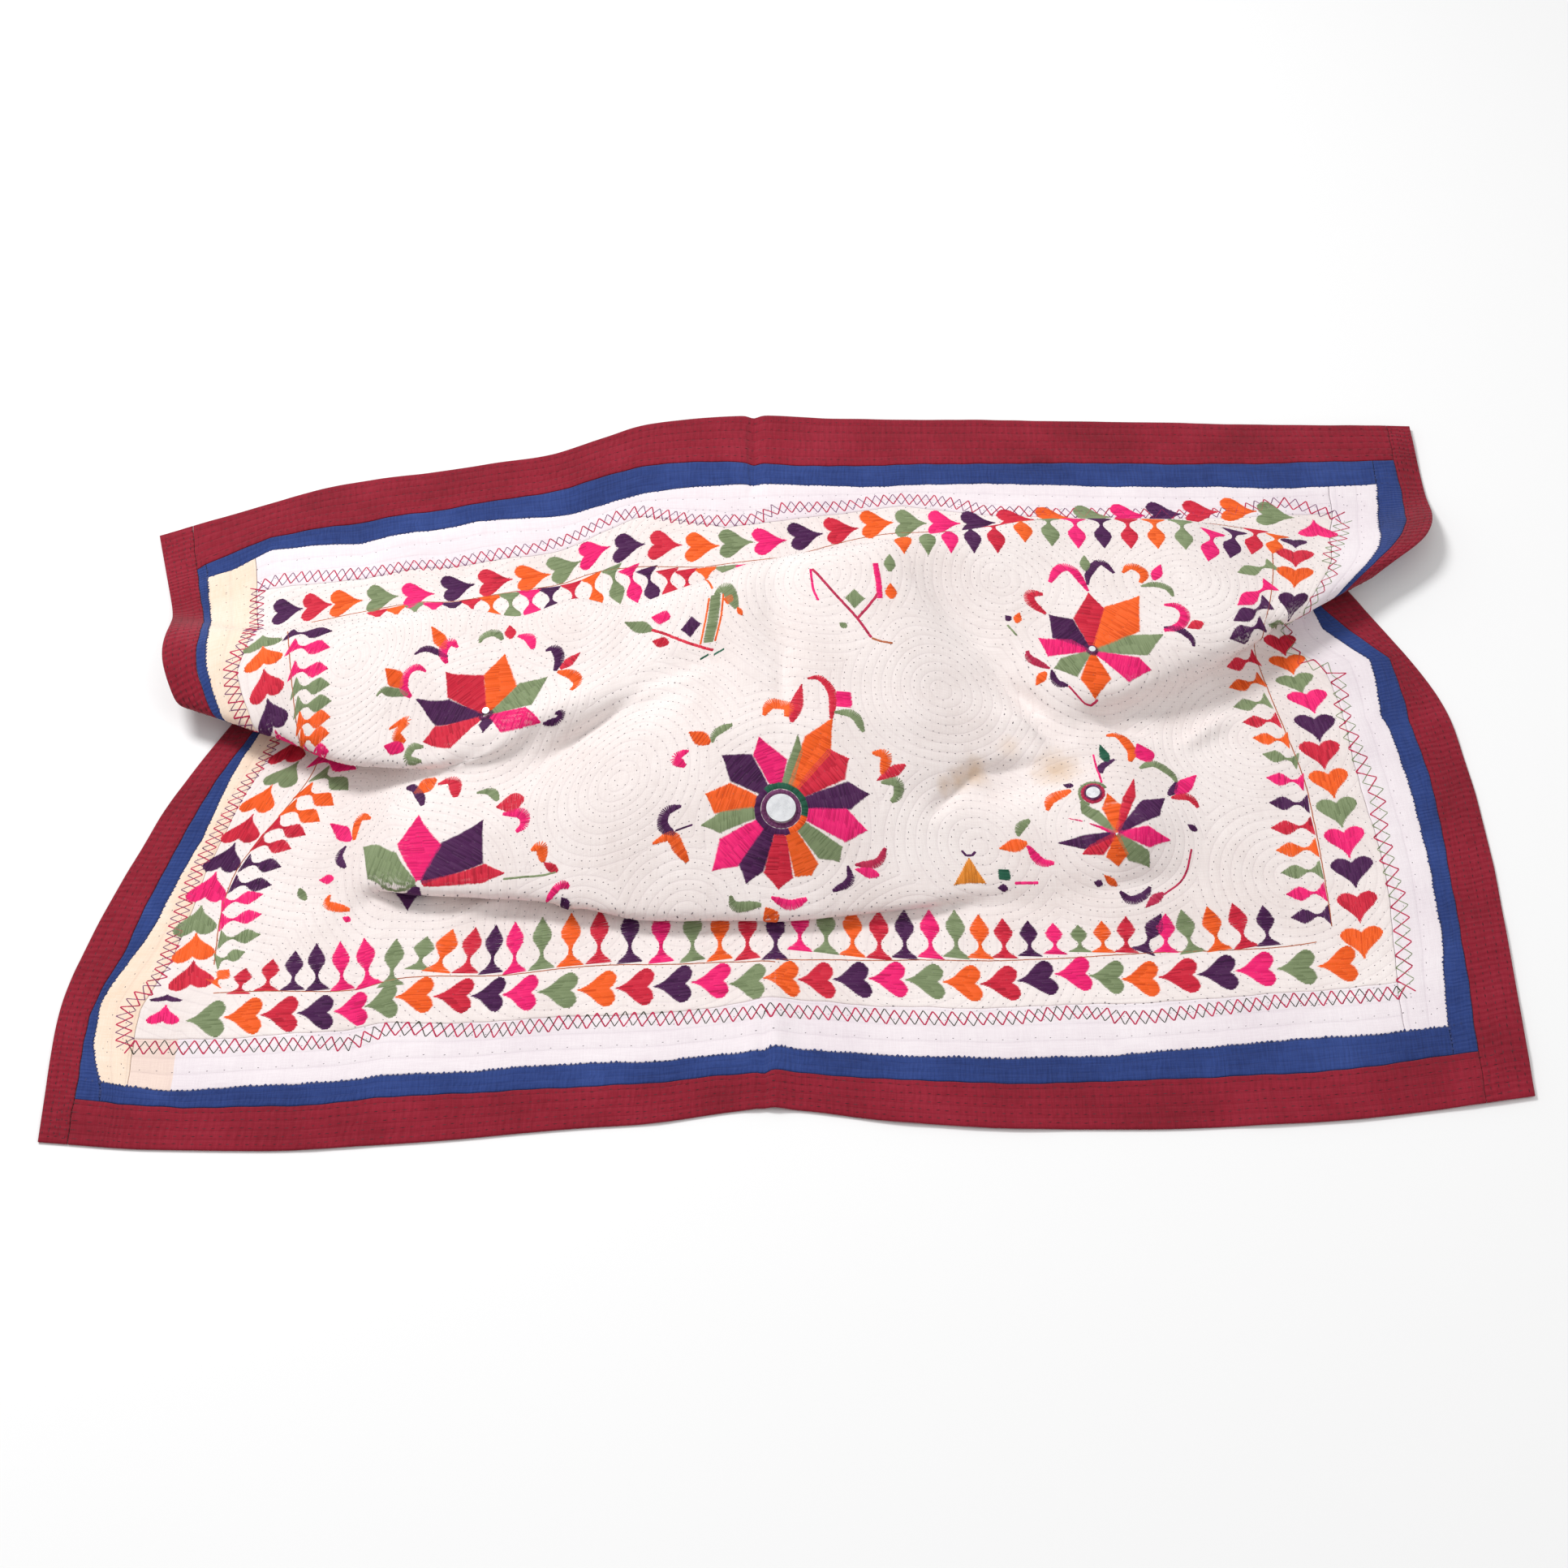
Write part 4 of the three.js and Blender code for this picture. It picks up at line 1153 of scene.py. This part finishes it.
# Hearts: their greatest length and their breadth in millimetres, their length as a share of the way to
# the next one, how far their stitches turn in degrees, and how closely they follow the row's bends.
# Goblets: how full they are, and how long one is that has its whole width. Petals: half their foot.
HEART_LENGTH = 29.0
HEART_BREADTH = (29, 31)
HEART_TO_GAP = 1.1
HEART_TURN = 4
FOLLOW_LINE = 0.8
GOBLET_FULLNESS = 1.22
FULL_GOBLET = 45
PETAL_FOOT = 1.8


def heart(work, u, v, turn, length, breadth, dye):
    """A heart of satin stitches that run along it, its tip towards the direction turn in degrees."""
    tip_way = towards(turn)
    side = left_of(tip_way)
    half = [(0.5 - row["along"], row["half"] / 2) for row in HEART_OUTLINE]
    outline = half + [(a, -b) for a, b in reversed(half[:-1])]
    places = [np.array([u, v]) + tip_way * a * length + side * b * breadth for a, b in outline]
    work.fill(places, turn + work.stray(HEART_TURN), dye)


def goblet(work, base, tip, dye):
    """A goblet of satin stitches across its axis."""
    shares = np.linspace(0, 1, 40)
    along, half = [[row[key] for row in GOBLET_OUTLINE] for key in ("along", "half")]
    widths = np.interp(shares, along, half)
    length = np.linalg.norm(np.array(tip) - np.array(base))
    widths *= GOBLET_FULLNESS * min(1.0, 0.75 + 0.25 * length / FULL_GOBLET)
    work.band([base, tip], widths, dye)


def petal(work, middle, ring, tip, one, other, dye):
    """A petal that widens from the ring round the middle to its shoulders and ends in a tip."""
    tip, one, other = (np.array(point, float) for point in (tip, one, other))
    way = (one + other) / 2
    way /= np.linalg.norm(way)
    side = left_of(way)
    if one[0] * other[1] > one[1] * other[0]:
        side = -side
    base = way * ring
    spread = (one - other) * 0.06
    foot = PETAL_FOOT + ring * 0.19
    outline = [base + side * foot, one + spread, tip * 1.03, other - spread, base - side * foot]
    axis = math.degrees(math.atan2(*(tip - base)[::-1]))
    work.fill([middle + point for point in outline], axis + 90, dye)


def from_middle(group, readings):
    """Places in whole millimetres from a group's middle."""
    return [(round(group["view"] + x / READINGS_PER_MM - group["u"]),
             round(VIEW_TOP - y / READINGS_PER_MM - group["v"])) for x, y in readings]


def motif(work, middle, kind, half, path, dye):
    """A figure's part: a line, a patch or a band of stitches that follows a path from the middle."""
    places = [middle + np.array(point) for point in path]
    if kind == "line":
        work.line(places, dye, width=half * 1.9, height=0.6)
    elif kind == "patch":
        work.fill(places, 90, dye)
    else:
        work.band(places, np.array(PROFILES[kind]) * half * FULLNESS[kind], dye)


def stitch_hearts():
    hearts = Needlework("stitched_hearts", 21)
    for row in HEART_ROWS:
        places = row_places(HEART_PLACES[row["row"]], ("u", "v"))
        dyes = row["dyes"].split()
        last = len(places) - 1
        for count, (u, v) in enumerate(places):
            ahead, behind = places[min(count + 1, last)], places[max(count - 1, 0)]
            gap = np.linalg.norm(ahead - behind) / (2 if 0 < count < last else 1)
            line = math.degrees(math.atan2(ahead[1] - behind[1], ahead[0] - behind[0]))
            lean = (line - row["tip"] + 90) % 180 - 90
            length = min(HEART_LENGTH, gap * HEART_TO_GAP)
            breadth = hearts.local.uniform(*HEART_BREADTH)
            turn = row["tip"] + lean * FOLLOW_LINE
            heart(hearts, u, v, turn, length, breadth, dyes[count % len(dyes)])
    for row in CORNER_HEARTS:
        heart(hearts, row["u"], row["v"], row["tip"], row["length"], row["breadth"], row["dye"])
    hearts.finish()


def stitch_goblets():
    goblets = Needlework("stitched_goblets", 22)
    for row in GOBLET_ROWS:
        dyes = row["dyes"].split()
        places = row_places(GOBLET_PLACES[row["row"]], ("base", "tip"))
        for count, (u, v, tip_u, tip_v) in enumerate(places):
            goblet(goblets, (u, v), (tip_u, tip_v), dyes[count % len(dyes)])
    for row in BASE_LINES:
        goblets.line(row["path"], "rust", width=1.1)
    goblets.finish()


def zigzag(work, path, period, dye, first, width):
    """One zigzag line along a path; first is the side, 1 or -1, on which it starts."""
    points, along = smooth_path(path)
    turns = round(along[-1] / period * 2)
    corners = []
    for turn in range(turns + 1):
        here, way = point_and_way(points, along, along[-1] * turn / turns, 1)
        way /= np.linalg.norm(way)
        out = left_of(way) * (first if turn % 2 else -first)
        corners.append(here + out * (ZIGZAG_HALF + work.stray(0.6)))
    for start, end in zip(corners[:-1], corners[1:]):
        work.line([start, end], dye, width=width, step=4.6)


def stitch_zigzags():
    zigzags = Needlework("stitched_zigzags", 23)
    for row in ZIGZAGS:
        zigzag(zigzags, row["line"], row["period"], row["second"], -1, 0.9)
        zigzag(zigzags, row["line"], row["period"], "crimson", 1, 1.35)
    zigzags.finish()


MIRRORS = chart("node u v radius", """
    mirror_centre 497 248 10.5   mirror_front_right 721 272 5
    mirror_rear_left 262 385 2.5   mirror_rear_right 733 407 2.5
""")
# The thread rings that hold the mirrors: how far beyond the glass each starts and ends, and the
# directions in degrees between which it runs
RINGS = chart("node dye inner outer start end", """
    mirror_centre plum 0.6 4.2 0 360
    mirror_centre green 4 9.5 -15 130
    mirror_centre purple 4 9.5 130 290
    mirror_centre orange 4 9.5 290 345
    mirror_front_right crimson 0.6 3.6 0 360
    mirror_front_right sage 3.4 5.6 20 250
    mirror_rear_left purple 0.6 2.8 0 360
    mirror_rear_right purple 0.6 2.8 0 360
""")


def stitch_mirror_rings(work):
    """Threads round the mirrors, and a raised rim close to the glass."""
    held = {row["node"]: row for row in MIRRORS}
    for row in RINGS:
        glass = held[row["node"]]
        inner, outer = glass["radius"] + row["inner"], glass["radius"] + row["outer"]
        work.ring((glass["u"], glass["v"]), inner, outer, row["dye"], row["start"], row["end"])
    for glass in MIRRORS:
        reach = glass["radius"] + 0.75
        angles = np.radians(np.linspace(0, 360, 25))
        rim = [(glass["u"] + reach * math.cos(a), glass["v"] + reach * math.sin(a)) for a in angles]
        work.line(rim, "plum", width=1.2, step=2.2, height=2.3)


def stitch_rosettes_and_figures():
    rosettes = Needlework("stitched_rosettes", 24)
    figures = Needlework("stitched_figures", 25)
    groups = {row["group"]: row for row in GROUPS}
    for group in GROUPS:
        group["middle"] = np.array([group["u"], group["v"]])
    for name, rows in PETALS.items():
        group = groups[name]
        for row in rows:
            places = from_middle(group, [row["tip"], row["one"], row["other"]])
            petal(rosettes, group["middle"], group["ring"] - 1, *places, row["dye"])
    for name, rows in MOTIFS.items():
        group = groups[name]
        work = rosettes if group["ring"] else figures
        for row in rows:
            path = from_middle(group, row["path"])
            motif(work, group["middle"], row["kind"], row["half"], path, row["dye"])
    stitch_mirror_rings(rosettes)
    rosettes.finish()
    figures.finish()


stitch_hearts()
stitch_goblets()
stitch_zigzags()
stitch_rosettes_and_figures()


def silvered_glass():
    """Small hand-silvered mirrors: cloudy and scratched."""
    n = Nodes("silvered_glass")
    place = n.add("ShaderNodeTexCoord").outputs["Object"]
    cloud = n.noise(place, 160.0, 4.0)
    scratch = n.noise(n.scaled(place, (90.0, 2400.0, 1.0)), 1.0, 2.0)
    return n.surface({
        "Base Color": n.ramp(cloud, (0.3, (0.80, 0.81, 0.84, 1)), (0.7, (0.96, 0.97, 0.99, 1))),
        "Metallic": 0.5,
        "Roughness": n.maths("MULTIPLY_ADD", cloud, 0.35, 0.12),
        "Normal": n.bump(scratch, 0.00008, 0.6),
    })


def silver_the_mirrors():
    """The mirrors are the solids' own pieces, with a better material."""
    glass_material = silvered_glass()
    for glass in MIRRORS:
        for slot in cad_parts[glass["node"]].material_slots:
            slot.material = glass_material


silver_the_mirrors()

# Running stitches: the quilting of the ground, the borders and the seams

# The part of the ground that is quilted: low and high u, low and high v
QUILTED = (66, 920, 92, 622)
QUILT_RINGS = 23
QUILT_STITCH_PITCH = 5.8


def stitch_quilting():
    quilting = Needlework("quilting_stitches", 26, SHORT_STITCH)
    for number, middle in enumerate(QUILT_MIDDLES):
        for ring in range(1, QUILT_RINGS + 1):
            reach = ring * QUILT_PITCH
            count = round(2 * math.pi * reach / QUILT_STITCH_PITCH)
            angles = (np.arange(count) + quilting.local.uniform(-0.15, 0.15, count)) * 2 * math.pi / count
            for angle in angles:
                out = np.array([math.cos(angle), math.sin(angle)])
                here = np.array([middle["u"], middle["v"]]) + out * reach
                here -= out * quilt_bend(*here, number)
                inside = QUILTED[0] < here[0] < QUILTED[1] and QUILTED[2] < here[1] < QUILTED[3]
                if not inside or quilt_reach(*here)[1] != number:
                    continue
                way = left_of(out) * quilting.local.uniform(0.5, 0.85)
                quilting.stitch(here - way, here + way, "grey", 0.9, 0.4)
    quilting.finish()


# Running stitches on the border strips: shares of a strip's width, and sizes in millimetres
BORDER_ROWS = table(
    "ring shares pitch length dye width",
    (0, (0.12, 0.31, 0.5, 0.69, 0.88), 6.0, 3.6, "wine", 1.15),
    (2, (0.36, 0.74), 11.0, 1.5, "grey", 0.9),
)
INWARD = {"front": (0, 1), "rear": (0, -1), "left": (1, 0), "right": (-1, 0)}
END_MARGIN = 4


def border_line(side, ring, share):
    """The two ends of a nominal line along one strip, at a share of its width from its outer edge."""
    seams = seams_of(side)
    across = seams[ring] + (seams[ring + 1] - seams[ring]) * share
    lengthwise = side in ("front", "rear")
    reach, breadth = (WIDTH, LENGTH) if lengthwise else (LENGTH, WIDTH)
    first, last = ("left", "right") if lengthwise else ("front", "rear")
    low = seams_of(first)[ring] + END_MARGIN
    high = reach - seams_of(last)[ring] - END_MARGIN
    if side in ("rear", "right"):
        across = breadth - across
    points = np.array([(low, across), (high, across)], float)
    return points if lengthwise else points[:, ::-1]


def run_along(work, side, row, share):
    """One row of running stitches along a strip."""
    start, end = border_line(side, row["ring"], share)
    reach = np.linalg.norm(end - start)
    way = (end - start) / reach
    out = left_of(way)
    count = int(reach / row["pitch"])
    shift = work.local.uniform(0, 1)
    middle = (np.arange(count) + shift + work.local.uniform(-0.1, 0.1, count)) * row["pitch"]
    half = row["length"] / 2 * work.local.uniform(0.75, 1.15, count)
    stray = work.local.normal(0, 0.35, count)
    ends = []
    for place in (middle - half, middle + half):
        nominal = start + way * place[:, None] + out * stray[:, None]
        ends.append(np.stack(wandered(nominal[:, 0], nominal[:, 1]), axis=1))
    for first, second in zip(*ends):
        work.stitch(first, second, row["dye"], row["width"], 0.35)


def whip_along(work, side, pitch=3.4):
    """Uneven whip stitches over the ragged seam between the blue strip and the band."""
    start, end = border_line(side, 1, 1.0)
    reach = np.linalg.norm(end - start)
    way = (end - start) / reach
    inward = np.array(INWARD[side])
    for count in range(int(reach / pitch)):
        here = start + way * (count * pitch + work.stray(0.6))
        place = np.stack(wandered(here[:1], here[1:]), axis=1)[0]
        length = work.local.uniform(0.4, 1.9)
        width = work.local.uniform(1.2, 2.6)
        work.stitch(place - inward * 1.2, place + inward * length + way * 0.5, "navy", width, 0.4)


def stitch_borders():
    borders = Needlework("border_stitches", 27, SHORT_STITCH)
    for row in BORDER_ROWS:
        for side in SIDES:
            for share in row["shares"]:
                run_along(borders, side, row, share)
    for side in SIDES:
        whip_along(borders, side)
    borders.finish()


stitch_quilting()
stitch_borders()

# The setting: floor, light and camera


def setting():
    scene = bpy.context.scene
    scene.view_settings.view_transform = "Standard"
    floor_mesh = bpy.data.meshes.new("floor")
    reach, drop = 6.0, 0.0004
    corners = [(x * reach, y * reach, -drop) for x, y in ((-1, -1), (1, -1), (1, 1), (-1, 1))]
    floor_mesh.from_pydata(corners, [], [(0, 1, 2, 3)])
    n = Nodes("pale_floor")
    floor_mesh.materials.append(n.surface({"Base Color": (0.9, 0.9, 0.9, 1), "Roughness": 0.9}))
    floor = bpy.data.objects.new("floor", floor_mesh)
    scene.collection.objects.link(floor)

    world = bpy.data.worlds.new("soft_light")
    world.use_nodes = True
    background = world.node_tree.nodes["Background"]
    background.inputs["Color"].default_value = (1, 1, 1, 1)
    background.inputs["Strength"].default_value = 0.55
    scene.world = world

    def area(name, place, target, size, power):
        light = bpy.data.lights.new(name, "AREA")
        light.shape = "DISK"
        light.size = size
        light.energy = power
        lamp = bpy.data.objects.new(name, light)
        aim(lamp, place, target)
        scene.collection.objects.link(lamp)

    area("key", (-1.3, 1.1, 2.3), (0, 0, 0), 0.9, 55)
    area("fill", (1.6, -1.2, 2.2), (0, 0, 0), 2.0, 12)


def aim(thing, place, target):
    """Puts a light or the camera somewhere, turned towards a point."""
    thing.location = place
    way = Vector(target) - Vector(place)
    thing.rotation_euler = way.to_track_quat("-Z", "Y").to_euler()


# The camera looks down at 50 degrees at the point of the floor in the middle of the picture.
CAMERA_DISTANCE = 2.17
CAMERA_ELEVATION = math.radians(50)
CAMERA_LENS = 67.86


def camera():
    lens = bpy.data.cameras.new("camera")
    lens.sensor_width = 36.0
    lens.lens = CAMERA_LENS
    eye = bpy.data.objects.new("camera", lens)
    target = -FOOTPRINT * MM
    away = np.array([0.0, -math.cos(CAMERA_ELEVATION), math.sin(CAMERA_ELEVATION)])
    aim(eye, tuple(target + away * CAMERA_DISTANCE), tuple(target))
    bpy.context.scene.collection.objects.link(eye)
    bpy.context.scene.camera = eye


setting()
camera()
